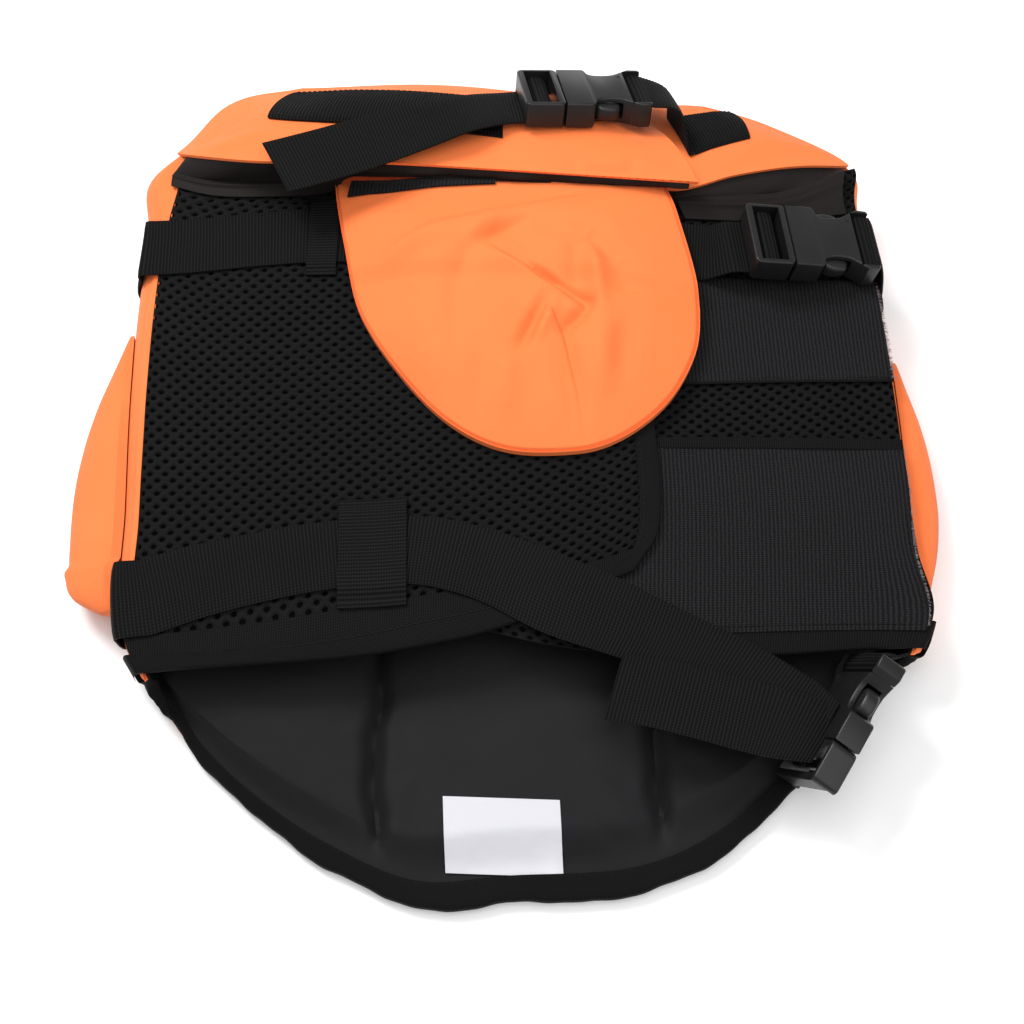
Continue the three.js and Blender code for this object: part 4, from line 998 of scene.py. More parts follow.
BACK_COLUMNS, BACK_ROWS = 180, 110
LINING_COLUMNS, LINING_ROWS = 300, 150
LINING_FOLDS = (
    (31, -170, 62, -189, 5, -1.3), (-62, -184, -58, -150, 6, 0.9), (-66, -120, -52, -124, 4, -0.9),
    (-66, -150, -54, -147, 3.5, -0.8), (-66, -172, -52, -180, 4, -1.0), (-88, -118, -98, -122, 4, -0.8),
    (-86, -160, -100, -150, 5, -0.8), (66, -120, 56, -128, 5, -0.8), (66, -160, 54, -150, 5, -0.9),
    (92, -140, 106, -150, 5, -0.9), (95, -170, 110, -162, 5, -0.8), (-20, -140, 25, -150, 12, 1.0),
    (-150, -112, -112, -150, 9, 0.9), (-160, -130, -128, -134, 5, -0.8), (130, -120, 150, -132, 7, 0.9),
    (0, -110, 40, -104, 14, -0.9),
)
LINING_WAVES = ((46, 20, 0.22, 0.4), (31, 105, 0.16, 1.7), (74, 62, 0.3, 2.2))
TAIL_WAVES = ((47, 0, 0.45, 0.5), (83, 0, 0.6, 2.1), (19, 0, 0.16, 1.0))


def make_lining():
    """The three foam pads under the lining, with small wrinkles beside the sewn channels."""
    along, across = np.linspace(0, 1, LINING_COLUMNS), np.linspace(0, 1, LINING_ROWS) ** 1.15
    a, b = np.meshgrid(along, across)
    place = back_point(a, b)
    x, y = place[..., 0], place[..., 1]
    foam = foam_at(a, b)
    soft = np.clip((foam - LINING) / FOAM * 2.5, 0, 1)
    lift = foam + soft * (folds(x, y, LINING_FOLDS) + ripple(x, y, LINING_WAVES))
    normal = normals(back_point, a, b)
    upper = place + normal * (CLOTH + SEAM_GAP + lift)[..., None]
    lower = place + normal * (CLOTH + SEAM_GAP)
    return cloth_wall("lining", upper, lower, material("black lining", black_lining))


FLANGE = {"thick": 1.8, "rise": 2.5, "over": 5.0, "columns": 14}
FLANGE_WIDTH = table((-104, 1.5), (-92, 5.5), (-80, 8.0), (150, 8.0), (190, 10.0), (222, 17.0), (250, 17.0))


def flange(b):
    """The shell's left edge, turned in over the belly panel's edge: from its far side to the rim."""
    share = np.linspace(1, 0, FLANGE["columns"] + 1)[:-1]
    share, b = np.meshgrid(share, b)
    rim, ahead = back_point(0 * b, b), unit(plan(0 * b + 0.1, b) - plan(0 * b, b))
    reach = FLANGE_WIDTH(rim[..., 1]) * share
    outer = rim + ahead * reach[..., None]
    height = left_top(outer[..., 0], outer[..., 1]) - MESH + FLANGE["rise"]
    fade = ease((b - 0.8) / 0.03)
    outer[..., 2] = mix(rim[..., 2], height, ease(reach / FLANGE["over"]) * (1 - fade))
    outer[..., 2] += 0.35 * np.sin(outer[..., 1] / 9.0) * ease(reach / 8) * (1 - fade)
    return outer, outer - (0, 0, FLANGE["thick"])


def make_shell():
    """The orange back: two millimetres of cloth that rolls up at both sides and, on the left, turns
    in over the belly panel's edge."""
    along, across = np.linspace(0, 1, BACK_COLUMNS), np.linspace(0, 1, BACK_ROWS)
    a, b = np.meshgrid(along, across)
    outer = back_point(a, b)
    inner = outer + normals(back_point, a, b) * CLOTH
    turned_outer, turned_inner = flange(across)
    return cloth_wall("shell", np.hstack([turned_inner, inner]), np.hstack([turned_outer, outer]),
                      material("orange cloth", orange_cloth))


def cut_corners(profile, times=2):
    """Chaikin's rule on the points of many profiles at once: each corner gives way to two points, a
    quarter and three quarters along its sides."""
    for _ in range(times):
        a, b = profile[:, :-1], profile[:, 1:]
        inner = np.stack([0.75 * a + 0.25 * b, 0.25 * a + 0.75 * b], axis=2)
        inner = inner.reshape(len(profile), -1, 3)
        profile = np.concatenate([profile[:, :1], inner[:, 1:-1], profile[:, -1:]], axis=1)
    return profile


def folded_tape(name, low_in, low_edge, high_edge, high_in, up, up_in, thick, gap=SEAM_GAP):
    """Tape folded round an edge: a rounded hook of six points on each face, a gap and a thickness
    away from the edge's four lines."""
    outwards = unit(low_edge - low_in)

    def layer(out):
        return cut_corners(np.stack([
            low_in - up_in * out,
            low_edge - up * out + outwards * out * 0.7,
            low_edge + outwards * (out + 0.2),
            high_edge + outwards * (out + 0.2),
            high_edge + up * out + outwards * out * 0.7,
            high_in + up_in * out], axis=1))
    outer = layer(gap + thick)
    points, faces = wall(outer, layer(gap))
    u, v = lengths(outer)
    return piece(name, points, faces, wall_uv(v, u), [tape_material()])


TAIL_TAPE = {"start": 0.058, "end": 0.958, "steps": 420, "length": 760.0, "gap": 1.15, "width": 0.78,
             "wider": 0.8, "inner_lift": 0.5, "floor_gap": 0.1}


def make_tail_binding():
    """Tape round the tail's edge, pressed on the shell and the lining, gently wavy."""
    a = np.linspace(TAIL_TAPE["start"], TAIL_TAPE["end"], TAIL_TAPE["steps"])
    edge = np.zeros_like(a)
    widened = ease((0.28 - np.minimum(a, 1 - a)) / 0.1)
    inner = TAPE_ROW * (TAIL_TAPE["width"] + TAIL_TAPE["wider"] * widened)
    rim = tail_edge(a)
    wave = ripple(np.linspace(0, TAIL_TAPE["length"], len(a)), 0.0, TAIL_WAVES)
    sway = unit(rim * (1, 1, 0)) * wave[:, None]
    low_in = back_point(a, inner)
    lowest = TAIL_TAPE["gap"] + TAPE_THICK["tail"] + TAIL_TAPE["floor_gap"]
    low_in[:, 2] = np.maximum(low_in[:, 2], lowest)
    return folded_tape(
        "tail_tape", low_in, back_point(a, edge) + sway, lining_top(a, edge) + sway,
        lining_top(a, inner) + (0, 0, TAIL_TAPE["inner_lift"]),
        normals(back_point, a, edge), normals(back_point, a, inner),
        TAPE_THICK["tail"], gap=TAIL_TAPE["gap"])


# A spacer mesh cell round its hole, in shares of the pitch across and of the row spacing
CELL = np.array([(0.5, -0.12), (0.5, 0.12), (0.25, 0.5), (0, 0.88), (-0.25, 0.5),
                 (-0.5, 0.12), (-0.5, -0.12), (-0.25, -0.5), (0, -0.88), (0.25, -0.5)])
HOLE = {"across": 1.95, "along": 1.6, "floor": 0.86, "crown": 0.1, "dip": -0.3}


def lattice(columns, lines):
    """Staggered cells over a field of columns by lines, as shares of it: the cells' ten corners, and
    the triangles left between them along the field's first and last line."""
    middles = np.array([(i + 0.5 * (1 - j % 2), j + 0.5)
                        for j in range(lines) for i in range(columns + j % 2)])
    tip = 0.5 + CELL[0, 1]
    notches = [[(i - 0.25, 0), (i + 0.25, 0), (i, tip)] for i in range(columns + 1)]
    notches += [[(i + 0.25, lines), (i - 0.25, lines), (i, lines - tip)] for i in range(columns + 1)]
    field = (columns, lines)
    return np.clip((middles[:, None] + CELL) / field, 0, 1), np.clip(np.array(notches) / field, 0, 1)


def net(name, panel, height, span, pitch, rows, pressed):
    """Spacer mesh: staggered cells in the panel's own two directions. Each cell is a rhombus with an
    oval hole, whose rim dips from the strands' crown and runs down to a floor; a plain underside of
    the same outline closes it."""
    columns, lines = round(span[0] / pitch), 2 * round(span[1] / rows / 2) + 1
    ring, notches = lattice(columns, lines)
    count, around = ring.shape[:2]
    middle = ring.mean(1, keepdims=True)
    squeeze = np.ptp(ring, axis=1, keepdims=True) * (columns, lines) / np.ptp(CELL, axis=0)
    turn = np.arctan2(CELL[:, 1] * rows, CELL[:, 0] * pitch)
    oval = np.stack([np.cos(turn) * HOLE["across"] / pitch, np.sin(turn) * HOLE["along"] / rows], axis=-1)
    holes = middle + oval * squeeze / (columns, lines)
    floor = middle + oval * squeeze * HOLE["floor"] / (columns, lines)

    flat = np.concatenate([ring.reshape(-1, 2), notches.reshape(-1, 2)])
    _, first, index = np.unique(np.round(flat * 1e5).astype(np.int64), axis=0,
                                return_index=True, return_inverse=True)
    index = index.ravel()
    shared = flat[first]
    cells, fills = index[:count * around].reshape(count, around), index[count * around:].reshape(-1, 3)
    rim = len(shared) + np.arange(count * around).reshape(count, around)
    low = rim + count * around
    base = len(shared) + 2 * count * around

    def lifted(places, rise, squeezed=-TAPE_SQUEEZE):
        p = np.array(panel(places[:, 0], places[:, 1]))
        p[:, 2] = height(p[:, 0], p[:, 1]) + rise + squeezed * pressed(places[:, 0], places[:, 1])
        return p
    points = np.concatenate([
        lifted(shared, HOLE["crown"]), lifted(holes.reshape(-1, 2), HOLE["dip"]),
        lifted(floor.reshape(-1, 2), -size("hole_depth"), 0.0), lifted(shared, -MESH, TAPE_SQUEEZE)])

    def band(outer, inner):
        return np.stack([outer, np.roll(outer, -1, 1), np.roll(inner, -1, 1), inner], -1).reshape(-1, 4)
    starts = np.concatenate([cells.ravel(), fills.ravel()])
    ends = np.concatenate([np.roll(cells, -1, 1).ravel(), np.roll(fills, -1, 1).ravel()])
    _, first, uses = np.unique(np.sort(np.stack([starts, ends], -1), axis=1), axis=0,
                               return_index=True, return_counts=True)
    start, end = starts[first[uses == 1]], ends[first[uses == 1]]
    sides = np.stack([start + base, end + base, end, start], -1)
    quads = np.concatenate([band(cells, rim), band(rim, low), sides])
    # the floors take the second, darker material: the backing's own black, and painted shade in the holes'
    # depth
    slots = np.zeros(len(quads) + 2 * count + 2 * len(fills), int)
    slots[len(quads):len(quads) + count] = 1
    uv = np.concatenate([shared, holes.reshape(-1, 2), floor.reshape(-1, 2), shared]) * span
    return piece(name, points, [quads, low, cells[:, ::-1] + base, fills, fills[:, ::-1] + base], uv,
                 [material("spacer mesh", spacer_mesh), material("hole floor painted shade", hole_floor_painted_shade)],
                 slots=slots, sharp=80)


LEFT_HEM = 0.076
PANEL_SPAN = 300.0   # a panel's width, which turns a length across it into a share
FLANGE_GAP = 0.3
MESH_SPAN = {"left": (290, 297), "right": (252, 285)}
RIGHT_FINER = {"pitch": 0.95, "rows": 0.9}


def left_mesh(a, b):
    """The left panel from where the shell's turned edge ends."""
    a, b = np.broadcast_arrays(np.asarray(a, float), np.asarray(b, float))
    start = (FLANGE_WIDTH(left_panel(0 * b, b)[..., 1]) + FLANGE_GAP) / PANEL_SPAN
    return left_panel(mix(start, 1, a), b)


def make_belly_left():
    return net("belly_mesh_left", left_mesh, left_top, MESH_SPAN["left"], size("hole_pitch"),
               size("hole_rows"), lambda a, b: ((b <= LEFT_HEM)
                                               | (a >= LEFT_TAPE["column"])).astype(float))


def make_belly_right():
    return net("belly_mesh_right", right_panel, right_top, MESH_SPAN["right"],
               size("hole_pitch") * RIGHT_FINER["pitch"], size("hole_rows") * RIGHT_FINER["rows"],
               lambda a, b: (b <= RIGHT_TAPE_ROW).astype(float))


TAPE_END = {"reach": 4.5, "drop": 13.0}


def panel_tape(name, panel, height, a, b, inner_a, inner_b, outwards):
    """Folded tape along a run of a panel's edge, over its squeezed faces. Shares beyond the panel
    turn outwards and down, as far as the tape's end reaches and drops."""
    def faces(s, t):
        beyond = np.maximum(0, np.maximum(-s, s - 1)) * PANEL_SPAN
        p = np.array(panel(np.clip(s, 0, 1), t))
        turn = np.clip(beyond / (TAPE_END["reach"] + TAPE_END["drop"]), 0, 1)
        p[:, 0] += outwards * TAPE_END["reach"] * np.sin(turn * math.pi / 2)
        high = height(p[:, 0], p[:, 1]) - TAPE_END["drop"] * (1 - np.cos(turn * math.pi / 2))
        top, low = p.copy(), p.copy()
        top[:, 2], low[:, 2] = high - TAPE_SQUEEZE, high - MESH + TAPE_SQUEEZE
        return top, low
    top_edge, low_edge = faces(a, b)
    top_in, low_in = faces(inner_a, inner_b)
    up = np.broadcast_to(np.array([0.0, 0.0, 1.0]), top_edge.shape)
    return folded_tape(name, low_in, low_edge, top_edge, top_in, up, up, TAPE_THICK["belly"])


def make_belly_tapes():
    row, column = LEFT_TAPE["row"], LEFT_TAPE["column"]
    a = np.concatenate([np.linspace(-0.06, 1, 150), np.ones(140)])
    b = np.concatenate([np.zeros(150), np.linspace(0, 0.9, 141)[1:]])
    left = panel_tape("belly_tape_left", left_panel, left_top, a, b,
                      np.minimum(a, column), np.maximum(b, row), -1)
    a = np.linspace(0.55, 1.022, 120)
    right = panel_tape("belly_tape_right", right_panel, right_top, a, 0 * a, a, 0 * a + RIGHT_TAPE_ROW, 1)
    return left, right


HEM = {"start": 0.004, "end": 0.965, "low": 0.9, "gap": 0.3, "thick": 0.7, "step": 0.45, "step_at": 0.215,
       "step_over": 0.004}
HEM_WAVES = ((33, 10, 0.12, 0.4), (19, 0, 0.08, 1.4))


def make_hem():
    """The flat band inside the left panel's lower tape, with the step where its two lengths meet."""
    low = HEM["low"] * LEFT_TAPE["row"]
    a, b = np.meshgrid(np.linspace(HEM["start"], HEM["end"], 220), np.linspace(low, LEFT_HEM, 8))
    p = np.array(left_panel(a, b))
    step = HEM["step"] * ease((HEM["step_at"] - a) / HEM["step_over"])
    p[..., 2] = left_top(p[..., 0], p[..., 1]) - TAPE_SQUEEZE + HEM["gap"] + step
    p[..., 2] += ripple(p[..., 0], p[..., 1], HEM_WAVES)
    points, faces = wall(p + (0, 0, HEM["thick"]), p)
    u, v = lengths(p)
    return piece("belly_hem", points, faces, wall_uv(u, v), [tape_material()])


LOOP_BANDS = {
    "lower": loop_plan((27.5, 224.8, 31.5), (34.2, 224.6, 38.2)),
    "upper": loop_plan((66.6, 224, 76.6), (68.2, 224, 78.2)),
}
BAND = {"gap": 0.15, "thick": 0.6}


def make_loop_band(name, plan_patch):
    """Narrow tape over a loop panel's edge."""
    surface = on_plan(plan_patch, right_top)
    lift = LAY_GAP + LOOP_CLOTH + BAND["gap"]
    lower = grid(surface, np.linspace(0, 1, 90), np.linspace(0, 1, 6)) + (0, 0, lift)
    return cloth_wall(name, lower + (0, 0, BAND["thick"]), lower, tape_material())


def make_fuzz(name, loop, count, reach, seed):
    """Frayed loops along a loop panel's right edge: thin hairs that bend along it, as four rings
    of three points each."""
    random = np.random.default_rng(seed)
    surface = on_plan(LOOPS[loop], right_top)
    t = random.uniform(0.02, 0.98, count)
    root = surface(1 + 0 * t, t) + (0, 0, LAY_GAP + LOOP_CLOTH * 0.6)
    along = unit(surface(1 + 0 * t, np.minimum(1, t + 0.01)) - surface(1 + 0 * t, t - 0.01))
    out = np.stack([along[:, 1], -along[:, 0], 0 * t], axis=-1)
    length, bend = random.uniform(0.5, reach, count), random.uniform(-1.0, 1.0, count)
    share = np.array([-0.4, 0.3, 0.7, 1.0])
    middle = (root[:, None] + out[:, None] * (length[:, None] * share)[..., None]
              + along[:, None] * (bend[:, None] * share**2)[..., None])
    middle[..., 2] += 0.5 * np.sin(math.pi * np.clip(share, 0, 1)) + random.uniform(-0.4, 0.4, count)[:, None]
    angle = np.arange(3) * 2 * math.pi / 3
    thick = np.array([0.13, 0.13, 0.11, 0.05])[:, None, None]
    ring = along[:, None, None] * np.cos(angle)[:, None] + (0, 0, 1) * np.sin(angle)[:, None]
    points = middle[:, :, None] + ring * thick
    base = np.arange(count)[:, None] * 12
    faces = [(base[:, None] + quads_of(4, 3, closed=True)).reshape(-1, 4),
             base + np.array([2, 1, 0]), base + np.array([9, 10, 11])]
    return piece(name, points, faces, None, [material("frayed loops", pale_thread)], sharp=180)


LOOP_WAVES = ((5.1, 8, 0.06, 0.2), (7.7, 88, 0.05, 1.1), (60, 40, 0.3, 0.6), (95, 120, 0.35, 2))


def make_loop_panel(name):
    """Loop cloth on the right panel: its top is raised unevenly by less than half a millimetre."""
    surface = on_plan(LOOPS[name], right_top)
    lower = grid(surface, np.linspace(0, 1, 110), np.linspace(0, 1, 60)) + (0, 0, LAY_GAP)
    x, y = lower[..., 0], lower[..., 1]
    upper = lower + (0, 0, LOOP_CLOTH)
    upper[..., 2] += ripple(x, y, LOOP_WAVES)
    return cloth_wall(name.replace("panel", "cloth"), upper, lower, material("loop cloth", loop_cloth))


FLOAT_FOLDS = {
    "side_float_left": ((-247, 2, -235, -6, 7, -1.3), (-238, 60, -250, 30, 12, -0.6),
                        (-232, -30, -246, -38, 10, -0.6)),
    "side_float_right": ((242, 40, 246, 10, 9, -0.9), (236, -20, 243, -28, 8, -0.9)),
}


def make_float(name):
    """A puffed paddle: rings across its length, each with a foot that follows the side wall's curve
    and an outer side that is an ellipse of the reach and the half height."""
    spec = FLOATS[name]
    side, edge = spec["side"], spec["edge"]
    reach = flowing(*edge)
    t = 0.5 - 0.5 * np.cos(np.linspace(0, math.pi, FLOAT["rings"]))
    y = mix(edge[0][0], edge[-1][0], t)
    fullness = np.sqrt(np.maximum(0, 1 - (2 * t - 1) ** 4))
    half = mix(FLOAT["tip_half"], FLOAT["half"], fullness)
    middle = mix(FLOAT["middle"] + FLOAT["tip_rise"], FLOAT["middle"], fullness)
    room = STRAP_ROOM["gap"] if side < 0 else 0.0
    gap = FLOAT["gap"] + room * ease((STRAP_ROOM["start"] - y) / STRAP_ROOM["over"])
    k = np.linspace(0, 1, FLOAT["foot"])
    z = middle[:, None] + half[:, None] * (1 - 2 * k)
    inner = wall_point(side, y[:, None] + 0 * z, angle_at(z, y[:, None]), gap[:, None] + 0 * z)
    root = wall_point(side, y, angle_at(middle, y), gap)
    angle = np.linspace(-math.pi / 2, math.pi / 2, FLOAT["around"])[1:-1]
    out = reach(y)[:, None] * np.abs(np.cos(angle)) ** FLOAT["roundness"]
    x = root[:, 0:1] + side * out
    yy = y[:, None] + 0 * x
    seam = FLOAT["seam"] * bump(angle, FLOAT["seam_width"])
    pucker = folds(x, yy, FLOAT_FOLDS[name]) * np.cos(angle)
    zz = middle[:, None] + (half[:, None] + pucker) * np.sin(angle)
    x = x - side * seam
    rings = np.concatenate([inner, np.stack([x, yy, zz], axis=-1)], axis=1)
    points, faces, caps = loft(rings)
    flat = np.stack([np.broadcast_to(np.arange(rings.shape[1]) * 2.2, rings.shape[:2]),
                     np.broadcast_to(y[:, None], rings.shape[:2])], axis=-1).reshape(-1, 2)
    flat = np.concatenate([flat, flat[:1], flat[-1:]])
    return piece(name.replace("side_float", "float_cover"), points, [faces, caps], flat,
                 [material("orange cloth", orange_cloth)], sharp=60)


RIB_SAMPLES = 4
WEBBING_COLUMNS = 11


def ribbon(name, rows, thick=WEBBING):
    """Webbing along rows of three points: a parabola across each row, smooth from row to row, with
    a cosine rib raised on both faces and thinner selvedges."""
    samples, length = spline(np.asarray(rows).reshape(len(rows), 9), measure=slice(3, 6))
    pitch = size("rib_pitch")
    s = np.linspace(0, length[-1], int(length[-1] / pitch * RIB_SAMPLES) + 2)
    left, centre, right = (
        np.stack([np.interp(s, length, samples[:, 3 * k + n]) for n in range(3)], axis=-1)[:, None]
        for k in range(3))
    w = np.linspace(-1, 1, WEBBING_COLUMNS)[:, None]
    base = left * w * (w - 1) / 2 + centre * (1 - w**2) + right * w * (w + 1) / 2
    across, along = np.gradient(base, axis=1), np.gradient(base, axis=0)
    normal = unit(np.cross(along, across))
    rib = 0.5 - 0.5 * np.cos(2 * math.pi * s / pitch)[:, None]
    selvedge = 0.45 * np.abs(w[:, 0]) ** 12
    drop = size("rib_depth") * rib + selvedge
    upper = base + normal * (thick - drop)[..., None]
    lower = base + normal * (0.4 * drop)[..., None]
    points, faces = wall(upper, lower)
    half = np.linalg.norm(right - left, axis=-1) / 2
    return piece(name, points, faces, wall_uv(s[:, None] + 0 * rib * w[:, 0], half * w[:, 0] + 0 * rib),
                 [webbing_material()], sharp=75)


def make_straps():
    """The two belly straps, with their loops through the buckles and their free ends."""
    seat = in_buckle("lower", [(LOWER_SEAT[0] + w, LOWER_SEAT[1], BUCKLE["depth"] / 2 + LAY_GAP)
                               for w in ACROSS])
    return [
        ribbon("strap_upper_left", np.concatenate([
            wrap_rows(-1, 170), laid_rows(upper_path, upper_height, 26), buckle_rows("upper", LADDER)])),
        ribbon("strap_upper_right", np.concatenate([
            buckle_rows("upper", REAR_BAR), wrap_rows(1, 158)[::-1]])),
        ribbon("strap_lower", np.concatenate([
            wrap_rows(-1, -58), laid_rows(lower_path, lower_height, 28), seat[None]])),
        ribbon("strap_lower_end", free_rows(FREE_END)),
        ribbon("strap_lower_right", np.concatenate([
            buckle_rows("lower", REAR_BAR), free_rows(BEHIND_BUCKLE)])),
    ]


KEEPER = {"thick": 1.5, "gap": 0.2, "strap_gap": 0.4, "shoulder": 8.0, "slope": 6.0}


def make_keeper(name, path, height, at, half, over):
    """A patch of webbing across a strap: eased up over the strap's edges, ribs along the strap."""
    p, q = path(at), path(at + 0.02)
    along = unit((q - p) * (1, 1, 0))
    wide = np.array([-along[1], along[0], 0.0])
    w, s = np.meshgrid(np.linspace(-over, over, 120), np.linspace(-half, half, 24), indexing="ij")
    place = p + wide * w[..., None] + along * s[..., None]
    on_strap = ease((WEBBING_WIDTH / 2 + KEEPER["shoulder"] - np.abs(w)) / KEEPER["slope"])
    lift = on_strap * (WEBBING + KEEPER["strap_gap"]) + KEEPER["gap"]
    place[..., 2] = height(place[..., 0], place[..., 1]) + lift
    rib = 0.5 - 0.5 * np.cos(2 * math.pi * w / size("rib_pitch"))
    upper = place + (0, 0, KEEPER["thick"])
    upper[..., 2] -= 0.8 * size("rib_depth") * rib
    points, faces = wall(upper, place)
    return piece(name, points, faces, wall_uv(w, s), [webbing_material()], sharp=75)


CHIN_FOLDS = (
    (-78, 150, -10, 176, 9, 2.6), (-10, 176, 60, 188, 9, 2.2), (-12, 165, 38, 128, 8, -3.2),
    (12, 104, 20, 128, 7, 2.2), (30, 108, 36, 20, 6, -2.4),
)
CHIN_CREASES = (
    (-11, 153, 12, 137, 3.2, -1.9), (12, 137, 31, 123, 2.6, -2.8), (31, 123, 44, 114, 3.4, -2.4),
    (-8, 150, 14, 130, 5.0, 0.9), (8, 171, -20, 153, 4.5, -1.5), (-8, 176, -26, 158, 5.0, 1.2),
    (19, 115, 5, 84, 4.5, -2.2), (24, 112, 14, 88, 4.0, 1.4), (30, 95, 42, 107, 4.5, -2.4),
    (42, 107, 46, 117, 4.0, -1.6), (12, 167, 45, 160, 7, -1.2), (45, 160, 62, 140, 7, -1.8),
    (62, 140, 68, 120, 8, -1.6), (37, 153, 38, 116, 6, -1.4), (48, 150, 52, 112, 5, 1.6),
    (-23, 153, -32, 130, 6, -1.0), (-32, 130, -33, 96, 7, -0.9), (-19, 80, -20, 42, 6, -0.9),
    (-3, 77, -3, 45, 6, 0.9), (54, 105, 51, 54, 8, 1.7), (66, 100, 62, 60, 8, -1.1),
    (-86, 140, -53, 164, 9, 1.0), (-76, 108, -60, 128, 12, -0.8), (-52, 90, -44, 60, 12, 0.8),
)
DART = ((20, 114), (29, 92), (36, 58), (41, 20))
DART_DEPTH, DART_REACH = 2.4, 9.0
CREASED = 2.4   # how deep the chin float's creases are, as a multiple of their rows


TUCK = ((-110, 112), (-83, 142), (-66, 156.5), (-46, 168.5), (-17, 177), (18, 186), (52, 194))
TUCK_DEPTH, TUCK_REACH = 2.6, 22.0


def tuck(x, y):
    """Where the float turns back under the neck flap: a fold that drops along a line and rises
    again over the reach, sharper towards its right end."""
    xs, ys = np.array(TUCK, float).T
    above = y - np.interp(x, xs, ys)
    sharp = mix(9.0, 1.6, ease((x + 60) / 70))
    within = ease((x + 110) / 40) * ease((60 - x) / 20)
    return -TUCK_DEPTH * ease((above + sharp / 2) / sharp) * ease(1 - above / TUCK_REACH) * within


def dart_step(x, y):
    """The dart's seam: its left side lies over its right side, which rises back over the reach."""
    ys = np.array([point[1] for point in DART[::-1]], float)
    xs = np.array([point[0] for point in DART[::-1]], float)
    beside = x - np.interp(y, ys, xs)
    within = ease((y - ys[0]) / 6) * ease((ys[-1] + 4 - y) / 18)
    return -DART_DEPTH * ease((beside + 0.5) / 1.0) * ease(1 - beside / DART_REACH) * within


CHIN_AROUND, CHIN_RINGS, CHIN_LOW_RINGS = 340, 110, 14
CHIN_FULLNESS = 3.2
CHIN_WAVES = ((41, 70, 0.25, 0.3), (27, 150, 0.15, 1.2))


def chin_puff(share, y):
    """Height over the float's rim at a share of the way to its outline: one less a power of it."""
    return (1 - share**CHIN_FULLNESS) * (CHIN_THICK - CHIN_RIM) * neckward(y)


def make_chin():
    """The padded bib: rings from its middle to its outline, puffed as one less a power of the ring,
    with listed creases and a thin sewn rim."""
    t = np.linspace(0, 1, CHIN_AROUND, endpoint=False)
    rim = chin_outline(t)[:, :2]

    def place(share):
        return mix(CHIN_MIDDLE, rim, share[:, None, None])
    top = 1 - (1 - np.linspace(0.015, 1, CHIN_RINGS)) ** 1.35
    xy = place(top)
    x, y = xy[..., 0], xy[..., 1]
    share = top[:, None]
    soft = (1 - share**5) * neckward(y)
    relief = tuck(x, y) + folds(x, y, CHIN_FOLDS) + CREASED * folds(x, y, CHIN_CREASES)
    relief = relief + dart_step(x, y) + ripple(x, y, CHIN_WAVES)
    height = chin_under(x, y) + CHIN_RIM + chin_puff(share, y) + soft * relief
    seam = 1.9 * ease((share - 0.978) / 0.012) * (1 - 0.7 * ease((share - 0.993) / 0.006))
    upper = np.stack([x, y, height - seam], axis=-1)
    low = np.linspace(1, 0.03, CHIN_LOW_RINGS)
    xy = place(low)
    lower = np.stack([xy[..., 0], xy[..., 1], chin_under(xy[..., 0], xy[..., 1])], axis=-1)
    rings = np.concatenate([upper, lower])
    points, faces, caps = loft(rings)
    return piece("chin_float_cover", points, [faces, caps], points[:, :2],
                 [material("orange cloth", orange_cloth)], sharp=60)


CHIN_HALF = (104.0, 96.0)
HOOK = {"low_left": (-100, 195), "low_right": (-10, 200), "high_left": (-98, 207), "high_right": (-10, 207)}
HOOK_LIFT, HOOK_INWARDS = 1.2, 0.96


def make_hook():
    """The hook strip along the chin float's top."""
    surface = patch(left=straight(HOOK["low_left"], HOOK["high_left"]),
                    right=straight(HOOK["low_right"], HOOK["high_right"]),
                    bottom=straight(HOOK["low_left"], HOOK["low_right"]),
                    top=straight(HOOK["high_left"], HOOK["high_right"]))
    p = grid(surface, np.linspace(0, 1, 60), np.linspace(0, 1, 8))
    x, y = p[..., 0], p[..., 1]
    share = HOOK_INWARDS * np.maximum(np.abs(x - CHIN_MIDDLE[0]) / CHIN_HALF[0],
                                      (y - CHIN_MIDDLE[1]) / CHIN_HALF[1])
    creased = folds(x, y, CHIN_FOLDS) * (1 - share**4) * neckward(y)
    p[..., 2] = chin_under(x, y) + CHIN_RIM + chin_puff(share, y) + creased + HOOK_LIFT
    return cloth_wall("hook_strip", p + (0, 0, LOOP_CLOTH), p, material("loop cloth", loop_cloth))


FLAP_FOLDS = {
    "left": ((-24, 207, -20, 216, 4, -1.2), (-80, 214, -76, 224, 4, -1.0), (34, 203, 37, 212, 4, -1.1),
             (70, 201, 73, 213, 4, -0.9), (-150, 216, -140, 228, 5, -1.2), (-190, 236, -160, 262, 7, -2.0),
             (-178, 226, -150, 236, 5, 1.8), (-120, 222, -60, 226, 10, 0.9),
             (-40, 212, 20, 220, 9, -0.9), (40, 210, 96, 208, 6, 1.1), (60, 240, 92, 236, 7, -0.9),
             (-110, 262, -60, 268, 12, 1.0), (-10, 246, 30, 236, 9, 0.9)),
    "right": ((120, 222, 170, 240, 8, 1.2), (150, 232, 190, 236, 6, -1.2), (100, 232, 130, 246, 9, -0.8),
              (178, 244, 196, 236, 5, 1.3)),
}
FLAP_CREASED = 1.6   # how deep the flaps' creases are, as a multiple of their rows
FLAP_WAVES = ((52, 30, 0.3, 0.2), (36, 110, 0.2, 1.4))


